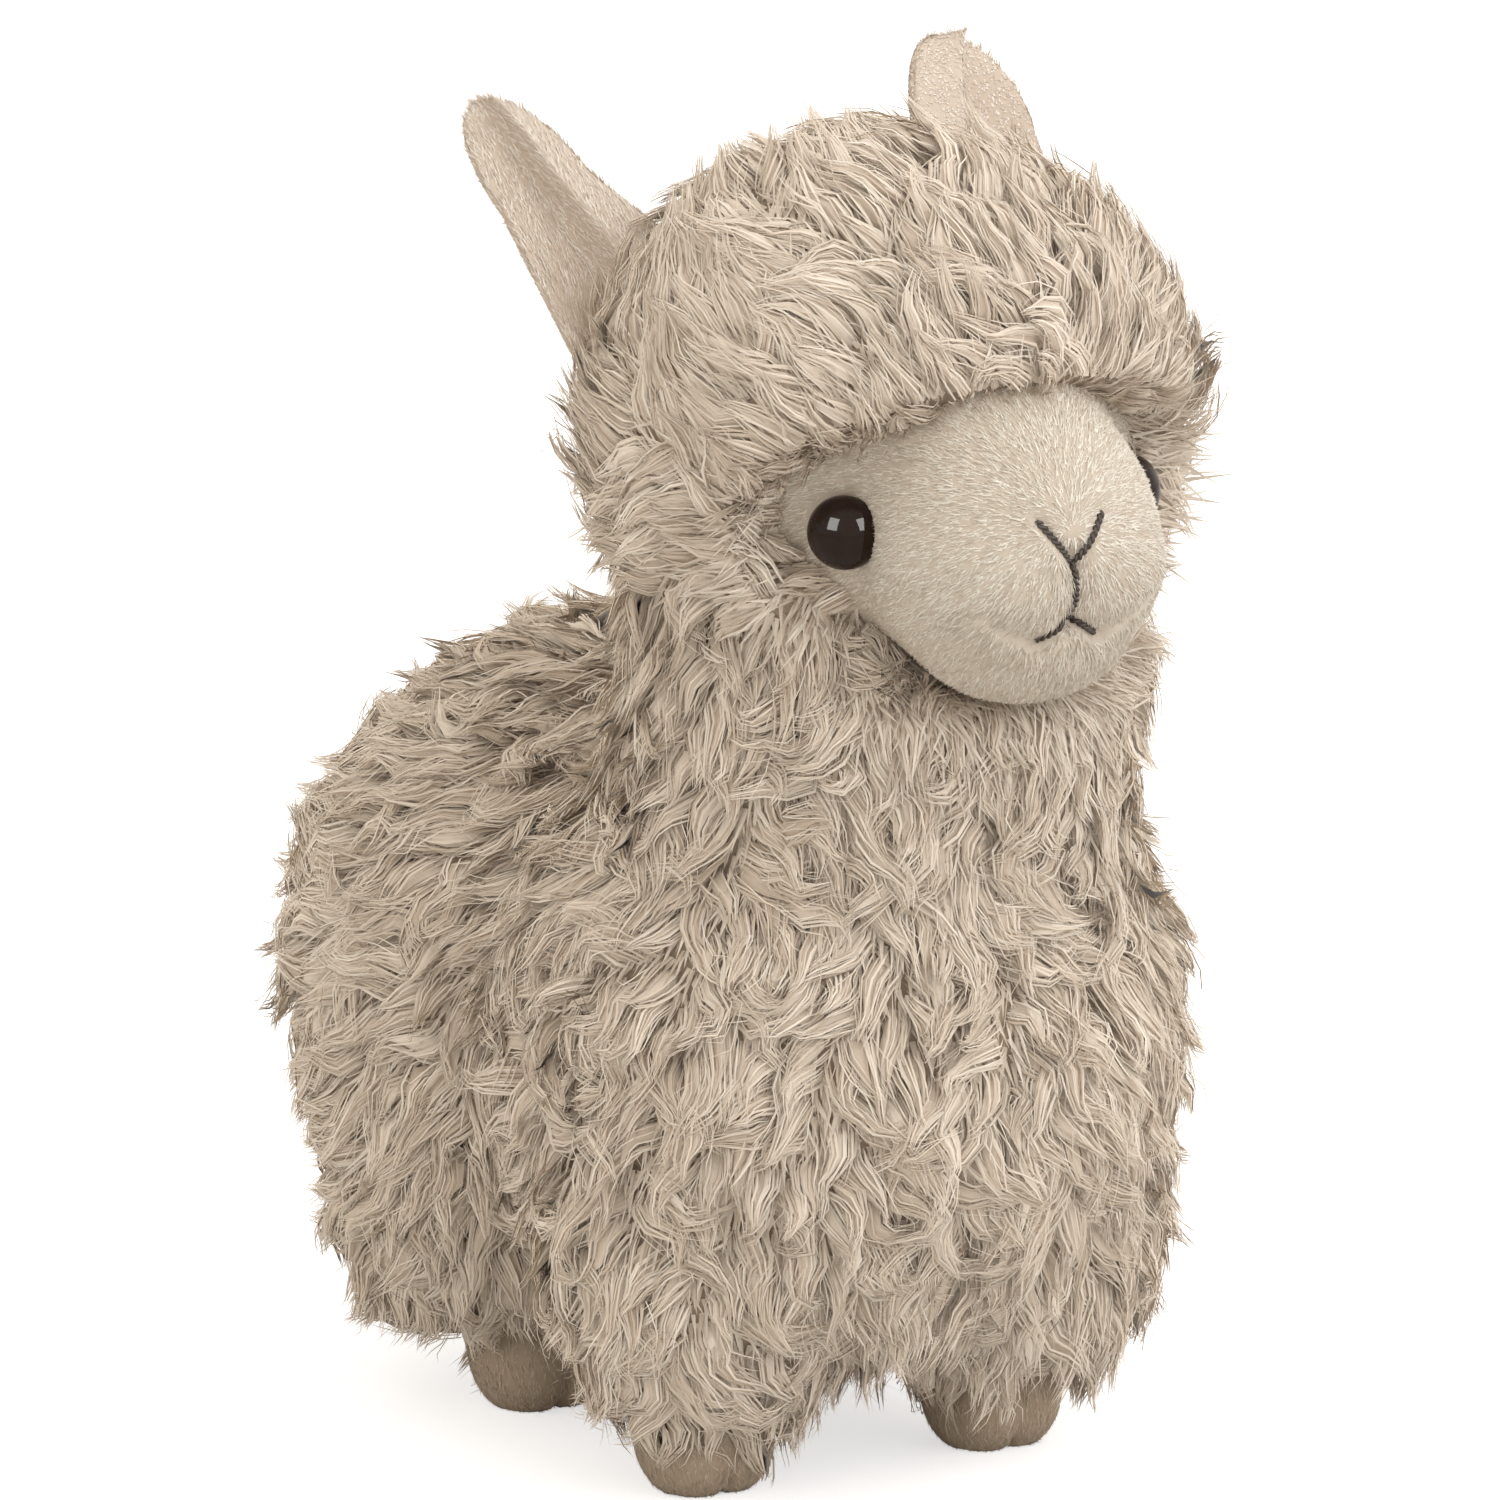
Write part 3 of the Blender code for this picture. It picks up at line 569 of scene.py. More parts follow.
def grow_guides(roots):
    """The middle line of each lock, followed step by step over the pelt: (locks, stations, 3). Locks that
    would run through the muzzle, over an eye or over the front left toes are left out."""
    rng = default_rng(21)
    count = len(roots)
    _, normals = gradient(skin_field, roots)
    is_head = head_fleece_field(roots) < 0.004
    length = rng.uniform(*LOCK_LENGTH, count)
    height = rng.uniform(*LOCK_RISE, count)
    near_face = at_face_edge(roots)
    member, to_tuft = tufts(roots, rng)
    middle_of_tuft = 1 - smoothstep(0, TUFT_SIZE * 0.8, norm(to_tuft, axis=1))
    length = length * (1 - 0.28 * near_face)
    height = height * (1 - 0.45 * near_face) * (0.68 + 0.68 * middle_of_tuft)
    flare = rng.uniform(0, FLARE, count) * (rng.uniform(size=count) < FLARED_SHARE) * (1 - 0.7 * near_face)
    of_tuft = rng.normal(0, 1, (2, member.max() + 1))[:, member]
    loose = np.where(is_head, 0.6, 1.0)
    swirl = 0.30 * smooth_noise(roots, 0.035, 3) + loose * (0.50 * of_tuft[0] + rng.normal(0, 0.30, count))
    curl = loose * (1.1 * of_tuft[1] + rng.normal(0, 0.8, count))
    wave = rng.uniform(0.3, 0.8, count) * loose
    wave_phase = rng.uniform(0, 2 * math.pi, count)
    wave_turns = rng.uniform(0.8, 1.4, count)

    step = length / (LOCK_STATIONS - 1)
    spot = roots - normals * ROOT_DEPTH
    guides, ups = [spot], [normals]
    heading = unit(normals + combing(roots) * 0.6)
    for k in range(1, LOCK_STATIONS):
        share = k / (LOCK_STATIONS - 1)
        value, up = gradient(skin_field, spot)
        flow = combing(spot)
        follow = np.where(spot[:, 2] > 0.13, 1, smoothstep(-0.75, -0.25, up[:, 2]))[:, None]
        flow = unit(flow - up * (flow * up).sum(axis=1)[:, None] * follow + 1e-6)
        side = unit(np.cross(up, flow) + 1e-9)
        turn = swirl + curl * (share - 0.3) + wave * np.sin(wave_phase + 2 * math.pi * wave_turns * share)
        going = flow * np.cos(turn)[:, None] + side * np.sin(turn)[:, None] + to_tuft * GATHER
        wanted = height * share**0.55 + flare * smoothstep(0.45, 1.0, share)
        rise = np.clip((wanted - value) / step, -0.5, 1.6)
        going = unit(going + up * (rise * (0.3 + 0.7 * follow[:, 0]))[:, None])
        heading = unit(heading * 0.35 + going * 0.65)
        spot = spot + heading * step[:, None]
        guides.append(spot)
        ups.append(up)
    guides, ups = np.stack(guides, axis=1), np.stack(ups, axis=1)
    widths = rng.uniform(*LOCK_WIDTH, count) * (1 - 0.3 * near_face)
    flat = guides.reshape(-1, 3)
    clear = face_field(flat).reshape(count, -1)[:, 2:].min(axis=1) > -0.0020
    over_toes = ellipsoid(flat - np.array((*LEGS["front"]["foot"], 0)), TOES_KEPT_CLEAR)
    clear &= over_toes.reshape(count, -1).min(axis=1) > 0
    for side in SIDES.values():
        seat, _ = eye_seat(side)
        clear &= norm(guides - seat, axis=2).min(axis=1) > EYE_RADIUS + EYE_KEPT_CLEAR
    return [x[clear] for x in (roots, guides, ups, widths)]


def lock_frames(guides, ups):
    """Outward and sideways directions at each station of each lock."""
    forward = unit(np.gradient(guides, axis=1))
    outward = unit(ups - forward * (ups * forward).sum(axis=2, keepdims=True))
    return outward, np.cross(forward, outward)


def line_length(points):
    return norm(np.diff(points, axis=-2), axis=-1).sum(axis=-1)


def mesh_arrays(points, triangles, uv, along, tone, normals):
    """Arrays of any shape as make_mesh takes them."""
    return (
        points.reshape(-1, 3), triangles.reshape(-1, 3), uv.reshape(-1, 2),
        {"along": along.ravel(), "tone": tone.ravel()}, normals.reshape(-1, 3),
    )


def lock_cores(guides, outward, sideways, widths, tones, rng):
    """The soft middle of each lock, which stands for the fibres too fine to see one by one."""
    locks = len(guides)
    share = np.linspace(0, 1, LOCK_STATIONS)
    profile = (0.35 + 0.65 * smoothstep(0, 0.25, share)) * (1.0 - 0.97 * smoothstep(0.20, 0.90, share))
    turns = (np.arange(CORE_SIDES) + 0.5) / CORE_SIDES * 2 * math.pi
    angles = turns + share[None, :, None] * rng.uniform(-1.2, 1.2, (locks, 1, 1))
    radius = (widths[:, None] * CORE_WIDTH * profile)[:, :, None]
    across = (radius * np.cos(angles))[..., None] * sideways[:, :, None, :]
    upward = (radius * 0.58 * np.sin(angles))[..., None] * outward[:, :, None, :]
    points = guides[:, :, None, :] + across + upward
    normals = unit(across + upward) + outward[:, :, None, :] * 1.5
    one = tube_triangles(LOCK_STATIONS, CORE_SIDES)[:, ::-1]
    triangles = one[None] + (np.arange(locks) * LOCK_STATIONS * CORE_SIDES)[:, None, None]
    uv = np.empty((locks, LOCK_STATIONS, CORE_SIDES, 2))
    uv[..., 0] = rng.uniform(0, 1, (locks, 1, 1)) + np.abs(turns - math.pi) * widths[:, None, None]
    uv[..., 1] = share[:, None] * line_length(guides)[:, None, None]
    # Darker at the root and paler towards the tip: painted shade deep in the lock, painted light at its tip
    along = np.broadcast_to(0.05 + share[:, None] * 0.75, uv.shape[:3])
    tone = np.broadcast_to(tones[:, None, None], uv.shape[:3])
    return mesh_arrays(points, triangles, uv, along, tone, normals)


def lock_strands(guides, outward, sideways, widths, tones, rng):
    """The strands of each lock. Each starts at its own root in the cloth, runs beside the middle line of
    its lock and is drawn in to the tip."""
    locks = len(guides)
    each = (locks, STRANDS, 1)
    share = np.linspace(0, 1, LOCK_STATIONS)
    loose = rng.uniform(size=each) < LOOSE_SHARE
    twist = rng.normal(0, STRAND_TWIST, (locks, 1, 1))
    angle = rng.uniform(-STRAND_REACH, STRAND_REACH, each) + twist * share
    away = rng.uniform(0.62, 1.10, each)
    spread = 1.0 - 0.78 * smoothstep(0.20, 1.05, share)
    spread = np.where(loose, 0.9 + 0.9 * share * rng.uniform(0.2, 1, loose.shape), spread)
    radius = widths[:, None, None] * away * spread
    stretch = rng.uniform(0.74, 1.12, (*each, 1))
    from_root = guides[:, None] - guides[:, None, :1, :]
    middle = guides[:, None, :1, :] + from_root * (1 + (stretch - 1) * share[None, None, :, None])
    phase = rng.uniform(0, 2 * math.pi, each)
    turns = share * rng.uniform(3, 9, each)
    waver = np.where(loose, 0.0009, 0.0004) * share * np.sin(phase + turns)
    out, side = outward[:, None], sideways[:, None]
    radial = out * (np.cos(angle) * 0.62)[..., None] + side * np.sin(angle)[..., None]
    tangent = side * np.cos(angle)[..., None] - out * (np.sin(angle) * 0.62)[..., None]
    centre = middle + radial * radius[..., None] + tangent * waver[..., None]
    roll = rng.normal(0, 0.45, (*each, 1))
    flat = unit(side * np.cos(roll) + out * np.sin(roll))
    half = STRAND_WIDTH / 2 * np.where(loose, 0.6, 1.0) * (1 - 0.70 * share**3)
    half = (half * rng.uniform(0.65, 1.35, each))[..., None]
    pairs = np.stack([centre - flat * half, centre + flat * half], axis=3)
    stray = rng.normal(0, 0.07, (*each, 3))
    normal = unit(radial * (0.44 * away[..., None]) + out * 1.05 + stray)
    normals = np.stack([normal - flat * 0.15, normal + flat * 0.15], axis=3)
    full = 2 * LOCK_STATIONS
    # Darker at the root and paler towards the tip: painted shade deep in the lock, painted light at the tips
    along = np.broadcast_to(0.12 + 0.88 * share[None, None, :, None], (locks, STRANDS, LOCK_STATIONS, 2))
    shade = tones[:, None, None, None] + rng.normal(0, 0.20, (*each, 1))
    uv = np.empty((locks, STRANDS, LOCK_STATIONS, 2, 2))
    uv[..., 0] = rng.uniform(0, 1, (*each, 1)) + np.array((0, 0.0005))
    uv[..., 1] = share[:, None] * line_length(guides)[:, None, None, None]
    rows = (locks * STRANDS, full)
    points, normals = pairs.reshape(*rows, 3), normals.reshape(*rows, 3)
    tone = np.broadcast_to(shade, along.shape).reshape(rows)
    uv, along = uv.reshape(*rows, 2), along.reshape(rows)
    for end, other in ((1, 0), (full - 2, full - 1)):
        points[:, end] = (points[:, end] + points[:, other]) / 2
        normals[:, end] = normals[:, end] + normals[:, other]
    points, normals, uv, along, tone = (x[:, 1:full - 1] for x in (points, normals, uv, along, tone))
    size = full - 2
    one = [(0, 2, 1)]
    for a in range(1, size - 3, 2):
        one += [(a, a + 1, a + 3), (a, a + 3, a + 2)]
    one.append((size - 3, size - 2, size - 1))
    triangles = np.array(one)[None] + (np.arange(rows[0]) * size)[:, None, None]
    return mesh_arrays(points, triangles, uv, along, tone, normals)


def fleece_groups(points):
    """Which points belong to which piece of fleece: {label: (CAD node, mask)}."""
    nearest = np.argmin([field(points) for field in FLEECES.values()], axis=0)
    groups = {}
    for index, name in enumerate(FLEECES):
        chosen = nearest == index
        if name in ("torso", "head"):
            halves = {"left": chosen & (points[:, 0] >= 0), "right": chosen & (points[:, 0] < 0)}
            for side, half in halves.items():
                if name == "head":
                    groups[f"head_{side}"] = ("head_fleece", half)
                else:
                    groups[f"chest_{side}"] = ("torso_fleece", half & (points[:, 1] < TORSO_MIDDLE[1]))
                    groups[f"rump_{side}"] = ("torso_fleece", half & (points[:, 1] >= TORSO_MIDDLE[1]))
        else:
            groups[name] = (name + "_fleece", chosen)
    return groups


def make_locks(on_pelt):
    roots, guides, ups, widths = grow_guides(pelt_roots(on_pelt))
    outward, sideways = lock_frames(guides, ups)
    tones = default_rng(9).normal(0, TONE_SPREAD, len(roots))
    for seed, (label, (replaced, chosen)) in enumerate(fleece_groups(roots).items()):
        rng = default_rng(100 + seed)
        some = [x[chosen] for x in (guides, outward, sideways, widths, tones)]
        slim = widths[chosen] * (0.6 + 0.4 * smoothstep(0.008, 0.018, face_opening_field(roots[chosen])))
        cores = lock_cores(*some[:3], slim, some[4], rng)
        for name, arrays in (("wool", cores), ("fleece", lock_strands(*some, rng))):
            arrays[0][:, 2] = np.maximum(arrays[0][:, 2], LOWEST_TIP)
            made = make_mesh(f"{name}_{label}", *arrays)
            finish_piece(made, (FLEECE, "fleece", replaced))
            made.visible_shadow = False


def beside_face(points):
    """1 beside the face opening, 0 from a little way off."""
    return 1 - smoothstep(0.008, 0.016, face_opening_field(points))


def make_undercoat(on_pelt):
    """Short slivers under the locks, longer and closer together beside the face."""
    rng = default_rng(200)
    chance = 1 + 9 * beside_face(on_pelt)
    short = on_pelt[rng.choice(len(on_pelt), UNDERCOAT, replace=False, p=chance / chance.sum())]
    for seed, (label, (replaced, chosen)) in enumerate(fleece_groups(short).items()):
        some = short[chosen]
        size = (0.0048 + 0.0030 * beside_face(some), UNDERCOAT_WIDTH)
        look = (FLEECE, "fleece", replaced)
        made = pile(f"undercoat_{label}", skin_field, some, combing(some), size, 0.50, 210 + seed, look)
        made.visible_shadow = False


def star(name, middle, field, rings, spokes, grow, look, axis=(0, 0, 1), limit=math.pi):
    """A skin whose points lie where rays from middle meet the field, from axis out to the limit angle."""
    axis = Vector(axis).normalized()
    turn = np.array(Vector((0, 0, 1)).rotation_difference(axis).to_matrix())
    polar = np.linspace(0, limit, rings)[:, None]
    around = np.arange(spokes) / spokes * 2 * math.pi
    directions = np.stack(
        [np.sin(polar) * np.cos(around), np.sin(polar) * np.sin(around), np.cos(polar) + 0 * around], axis=-1
    )
    directions = directions.reshape(-1, 3) @ turn.T
    points = np.array(middle) + directions * reach(middle, directions, field, grow)[:, None]
    uv = np.column_stack([np.tile(around * 0.03, rings), np.repeat(polar[:, 0] * 0.04, spokes)])
    values = {"along": np.full(len(points), 0.35), "tone": np.zeros(len(points))}
    return finish_piece(make_mesh(name, points, tube_triangles(rings, spokes)[:, ::-1], uv, values), look)


def make_backing():
    """The cloth that the fleece grows from, coloured darker than the fleece: painted shade that shows between
    the locks.
    """
    def backing(label, middle, field, rings, spokes, node_name):
        look = (UNDER, "fleece", node_name)
        made = star(label + "_backing", middle, field, rings, spokes, -0.0004, look)
        return made

    backing("torso", TORSO_MIDDLE, torso_field, 36, 56, "torso_fleece")
    backing("neck", (0, -0.0105, 0.122), neck_field, 28, 48, "neck_fleece")
    head = backing("head", HEAD_MIDDLE, head_backing_field, 56, 80, "head_fleece")
    backing("tail", TAIL[0], tail_field, 20, 24, "tail_fleece")
    for leg in LEGS:
        for name, side in SIDES.items():
            label = f"{leg}_{name}_leg"
            backing(label, mirrored(LEGS[leg]["puff"][0], side), FLEECES[label], 24, 32, label + "_fleece")
    count, size, lift = CHEEK_PILE
    roots, _ = scatter(head, count, default_rng(230))
    roots = roots[face_opening_field(roots) < 0.013]
    cheek = pile(
        "undercoat_cheeks", head_backing_field, roots, combing(roots), size, lift, 231,
        (FLEECE, "fleece", "head_fleece"),
    )
    cheek.visible_shadow = False


# Short pile

# stray is how far a sliver turns from the flow, sway how far its tip leans to a side, mottle how much slivers
# differ in tone, and ends where the colours of its root and tip lie on the way from dark to light: a darker
# root as painted shade, a paler tip as painted light
FIELD_PILE = {"stray": 0.22, "sway": 0.15, "mottle": 0.25, "ends": (0.30, 0.68)}
MESH_PILE = {"stray": 0.25, "sway": 0.0, "mottle": 0.2, "ends": (0.36, 0.60)}
SLIVER_SUNK = 0.0001

# How many slivers, their length and width, and how far they lift
FACE_PILE = (56000, (0.0019, 0.00032), 0.16)
EAR_PILE = (11000, (0.0017, 0.00034), 0.22)
FOOT_PILE = (5000, (0.0015, 0.00032), 0.18)
CHEEK_PILE = (16000, (0.0062, UNDERCOAT_WIDTH), 0.45)


def slivers(name, roots, up, flow, size, lift, rng, kind, look, tint):
    """Slivers of size (length, width), each for a few fibres, that lie along the flow and lift a little."""
    count = len(roots)
    going = flow - up * (flow * up).sum(axis=1)[:, None]
    going = unit(going + rng.normal(0, kind["stray"], (count, 3)))
    going = unit(going - up * (going * up).sum(axis=1)[:, None])
    side = np.cross(up, going)
    lengths = (size[0] * rng.uniform(0.6, 1.3, count))[:, None]
    halves = (size[1] / 2 * rng.uniform(0.7, 1.3, count))[:, None]
    tips = roots + going * lengths + up * lengths * (lift * rng.uniform(0.3, 1.6, count))[:, None]
    if kind["sway"]:
        tips = tips + side * lengths * rng.normal(0, kind["sway"], count)[:, None]
    low = roots - up * SLIVER_SUNK
    points = np.stack([low - side * halves, low + side * halves, tips], axis=1)
    normals = np.stack([up - side * 0.5, up + side * 0.5, up + going * 0.2], axis=1)
    uv = np.zeros((count, 3, 2))
    uv[..., 0] = rng.uniform(0, 1, (count, 1))
    uv[:, 2, 1] = lengths[:, 0]
    shade = rng.normal(0, kind["mottle"], (count, 1)) + np.broadcast_to(tint, count)[:, None]
    tone = np.repeat(shade, 3, axis=1)
    # Darker roots and paler tips: painted shade in the pile, painted light at the tips
    root, tip = kind["ends"]
    along = np.tile((root, root, tip), count)
    triangles = np.arange(count * 3).reshape(-1, 3)[:, ::-1]
    return finish_piece(make_mesh(name, *mesh_arrays(points, triangles, uv, along, tone, normals)), look)


def pile(name, field, roots, flow, size, lift, seed, look, tint=0.0):
    """Slivers at the given roots on a field's surface."""
    _, up = gradient(field, roots)
    return slivers(name, roots, up, flow, size, lift, default_rng(seed), FIELD_PILE, look, tint)


def surface_pile(name, made, flow, count, size, lift, seed, look):
    """Slivers spread over a mesh, which take on its tone, so on an ear lining also its painted shade and
    painted light.
    """
    rng = default_rng(seed)
    roots, at_roots = scatter(made, count, rng)
    up = unit(at_roots(vectors(made.data.vertex_normals, "vector")))
    tones = np.empty(len(made.data.vertices))
    made.data.attributes["tone"].data.foreach_get("value", tones)
    tint = at_roots(tones[:, None])[:, 0]
    return slivers(name, roots, up, flow, size, lift, rng, MESH_PILE, look, tint)


def vectors(items, key):
    """The vectors that a mesh keeps under a key, as rows."""
    numbers = np.empty(len(items) * 3)
    items.foreach_get(key, numbers)
    return numbers.reshape(-1, 3)


def scatter(made, count, rng):
    """Random places spread evenly over a mesh object, in the toy's own coordinates, and a function that
    gives the value at those places of anything kept per vertex."""
    mesh = made.data
    points = vectors(mesh.vertices, "co") - FRONT_FEET
    corners = np.empty(len(mesh.loops), np.int32)
    mesh.loops.foreach_get("vertex_index", corners)
    corners = corners.reshape(-1, 3)
    a, b, c = (points[corners[:, i]] for i in range(3))
    areas = norm(np.cross(b - a, c - a), axis=1)
    chosen = corners[rng.choice(len(areas), count, p=areas / areas.sum())]
    s, t = np.sqrt(rng.uniform(size=(count, 1))), rng.uniform(size=(count, 1))
    weights = (1 - s, s * (1 - t), s * t)

    def at_places(values):
        return sum(values[chosen[:, i]] * weight for i, weight in enumerate(weights))

    return at_places(points), at_places


# Face

def segment_distance(points, start, end):
    """Distance in the front view, across x and z, to a line from start to end."""
    flat = points[:, [0, 2]]
    start, end = np.array(start), np.array(end)
    along = end - start
    share = np.clip((flat - start) @ along / (along @ along), 0, 1)
    return norm(flat - start - share[:, None] * along, axis=1)


CREASES = (
    (STITCHES["nose_stitch_left"], 0.0006, 0.0013),
    (STITCHES["nose_stitch_right"], 0.0006, 0.0013),
    (((0, 0.1665), (0, 0.1555)), 0.0014, 0.0019),
    (STITCHES["mouth_stitch_left"], 0.0010, 0.0016),
    (STITCHES["mouth_stitch_right"], 0.0010, 0.0016),
    (((0.0054, 0.1522), (0.0150, 0.1570)), 0.0009, 0.0020),
    (((-0.0054, 0.1522), (-0.0150, 0.1570)), 0.0009, 0.0020),
)


def creased_face_field(points):
    """The face, drawn in along the stitches, at the corners of the mouth and round the eyes."""
    field = face_field(points)
    for side in SIDES.values():
        from_eye = norm(points - eye_seat(side)[0], axis=1)
        field = field + EYE_SOCKET_DEPTH * np.exp(-((from_eye / EYE_SOCKET_WIDTH) ** 2))
    front = smoothstep(-0.045, -0.060, points[:, 1])
    for (start, end), depth, width in CREASES:
        field = field + front * depth * np.exp(-((segment_distance(points, start, end) / width) ** 2))
    return field


def make_face():
    axis = (0, -math.cos(FACE_AXIS_PITCH), math.sin(FACE_AXIS_PITCH))
    look = (FACE, "face_plush", "face_panel")
    face = star(
        "face_cloth", HEAD_MIDDLE, creased_face_field, 96, 150, 0.0, look, axis, math.radians(88),
    )
    count, size, lift = FACE_PILE
    roots, _ = scatter(face, count, default_rng(41))
    keep = face_opening_field(roots) < 0.008
    for side in SIDES.values():
        eye = HEAD_MIDDLE + unit(mirrored(EYE_DIRECTION, side)) * HEAD_CLOTH_RADIUS
        keep &= norm(roots - eye, axis=1) > EYE_RADIUS + EYE_PILE_GAP
    roots = roots[keep]
    flow = unit(roots - np.array(NOSE_BRIDGE)) + np.array((0, 0.25, -0.35))
    # The pile is made darker under the mouth and further back beside the muzzle: painted shade where less
    # light falls
    under_mouth_painted_shade = smoothstep(0.166, 0.150, roots[:, 2])
    cheeks = smoothstep(-0.064, -0.050, roots[:, 1])
    pile(
        "face_pile", creased_face_field, roots, flow, size, lift, 42, look, -1.5 * under_mouth_painted_shade - 0.5 * cheeks,
    )


@functools.lru_cache(maxsize=None)
def eye_seat(side):
    direction = unit(mirrored(EYE_DIRECTION, side))
    distance = reach(HEAD_MIDDLE, direction[None], face_field)[0]
    return HEAD_MIDDLE + direction * distance, unit(mirrored(EYE_NORMAL, side))


def lathe(name, profile, middle, normal, steps, look):
    """A round piece from a profile of (radius, height), turned about the normal through middle."""
    turn = np.array(Vector((0, 0, 1)).rotation_difference(Vector(normal)).to_matrix())
    around = np.arange(steps) / steps * 2 * math.pi
    rings = [np.column_stack([r * np.cos(around), r * np.sin(around), np.full(steps, h)]) for r, h in profile]
    points = np.vstack(rings) @ turn.T + middle
    return finish_piece(make_mesh(name, points, tube_triangles(len(profile), steps)[:, ::-1]), look)


def make_eyes():
    for name, side in SIDES.items():
        seat, normal = eye_seat(side)
        angles = np.linspace(0.001, math.pi / 2, 24)
        dome = [(EYE_RADIUS * math.sin(t), EYE_HEIGHT * math.cos(t)) for t in angles]
        middle = seat + normal * EYE_LIFT
        lathe(f"eye_dome_{name}", (*dome, *EYE_EDGE), middle, normal, 64, (EYE, "eye", "eye_" + name))


def make_stitches():
    """Two-ply embroidery thread, sunk into the creases of the face."""
    for name, (start, end) in STITCHES.items():
        share = np.linspace(0, 1, THREAD_STEPS)[:, None]
        aim = np.array(start) * (1 - share) + np.array(end) * share
        line = np.column_stack([aim[:, 0], np.full(THREAD_STEPS, -0.0730), aim[:, 1]])
        for _ in range(6):
            directions = unit(line - HEAD_MIDDLE)
            distances = reach(HEAD_MIDDLE, directions, creased_face_field, THREAD_RADIUS * 0.35)
            line[:, 1] = (HEAD_MIDDLE + directions * distances[:, None])[:, 1]
        _, up = gradient(creased_face_field, line)
        forward = unit(np.gradient(line, axis=0))
        side = unit(np.cross(forward, up))
        up = np.cross(side, forward)
        one = tube_triangles(THREAD_STEPS, THREAD_SIDES)
        points, triangles = [], []
        for ply in range(THREAD_PLIES):
            turn = 2 * math.pi * (share[:, 0] * line_length(line) / THREAD_PITCH + ply / THREAD_PLIES)
            centre = line + (side * np.cos(turn)[:, None] + up * np.sin(turn)[:, None]) * THREAD_RADIUS * 0.45
            ends = np.sqrt(np.clip(np.minimum(share[:, 0], 1 - share[:, 0]) / 0.06, 0.05, 1))
            around = np.arange(THREAD_SIDES) / THREAD_SIDES * 2 * math.pi
            ring = side[:, None] * np.cos(around)[None, :, None] + up[:, None] * np.sin(around)[None, :, None]
            tube = centre[:, None] + ring * (THREAD_RADIUS * 0.62 * ends)[:, None, None]
            triangles.append(one + ply * THREAD_STEPS * THREAD_SIDES)
            points.append(tube.reshape(-1, 3))
        made = make_mesh("thread_" + name, np.vstack(points), np.vstack(triangles))
        finish_piece(made, (THREAD, "thread", name))


# Ears

def ear_frame(side):
    base, tip = np.array(mirrored(EAR_BASE, side)), np.array(mirrored(EAR_TIP, side))
    along = unit(tip - base)
    opening = np.array(mirrored(EAR_OPENING, side))
    opening = unit(opening - along * (opening @ along))
    return base, tip, along, np.cross(along, opening) * side, opening


def ear_point(side, u, v, depth):
    """A point of the ear: u from base to tip, v across it from -1 to 1, depth into the hollow."""
    base, tip, along, across, opening = ear_frame(side)
    length = norm(tip - base)
    taper = np.minimum(u / EAR_STRAIGHT, 1)
    half = EAR_HALF_WIDTH_BASE * (1 - taper) + EAR_HALF_WIDTHS_TIP[side] * taper
    over = np.clip((u - EAR_STRAIGHT) / (1.001 - EAR_STRAIGHT), 0, 1)
    half = half * np.sqrt(np.maximum(1 - over**2, 0.0025))
    cup = EAR_CUP_BASE * (1 - u) + EAR_CUP_TIP * u
    radius = half / np.sin(np.minimum(cup / 2, math.pi / 2))
    edge, amount = EAR_EDGES[side]
    narrower = amount * smoothstep(0.0, 0.35, v * edge) * smoothstep(0.05, 0.35, u)
    angle = v * (1 - narrower) * cup / 2
    depth = depth * np.minimum(1, half / EAR_RIM)
    across_by = np.sin(angle) * (radius - depth)
    open_by = (1 - np.cos(angle)) * radius + np.cos(angle) * depth
    on_axis = base + along * (u * length)[..., None]
    return on_axis + across * across_by[..., None] + opening * open_by[..., None]


def ear_skin(name, side, front, look):
    """One plush layer of an ear: a rounded sheet, thick along the upper edge where the cloth is turned."""
    rows, columns = 32, 48
    u = np.linspace(-0.10, 1, rows)[:, None] * np.ones((1, columns))
    turn = np.arange(columns) / columns * 2 * math.pi
    v = np.cos(turn)[None, :] * np.ones((rows, 1))
    rim = np.sqrt(np.maximum(1 - v**2, 0))
    thick = EAR_LAYER * rim
    fold = np.exp(-(((v - EAR_FOLD_PLACE) / EAR_FOLD_WIDTH) ** 2)) * EAR_FOLD_HEIGHT * rim**0.7
    dimple = np.exp(-(((v - 0.12) / 0.16) ** 2)) * EAR_DIMPLE
    dimple = dimple * smoothstep(0.05, 0.35, u) * smoothstep(0.95, 0.6, u)
    if front:
        depth = np.where(np.sin(turn)[None, :] > 0, thick + fold - dimple, 0.0)
    else:
        depth = np.where(np.sin(turn)[None, :] > 0, 0.0, -thick)
    points = ear_point(side, np.clip(u, 0, 1), v, depth)
    _, _, along, _, _ = ear_frame(side)
    length = norm(np.array(EAR_TIP) - np.array(EAR_BASE))
    points = points + along * (np.minimum(u, 0) * length)[..., None]
    uv = np.stack([v * 0.012, u * length], axis=-1).reshape(-1, 2)
    # The lining is darker in the hollow and paler on the fold: painted shade and painted light
    hollow = smoothstep(-0.30, 0.0, v) * smoothstep(1.0, 0.75, u)
    shade = front * (EAR_FOLD_PAINTED_LIGHT + (EAR_HOLLOW_PAINTED_SHADE - EAR_FOLD_PAINTED_LIGHT) * hollow)
    values = {"along": np.full(rows * columns, 0.40), "tone": shade.ravel()}
    made = make_mesh(name, points.reshape(-1, 3), tube_triangles(rows, columns), uv, values)
    return finish_piece(made, look)


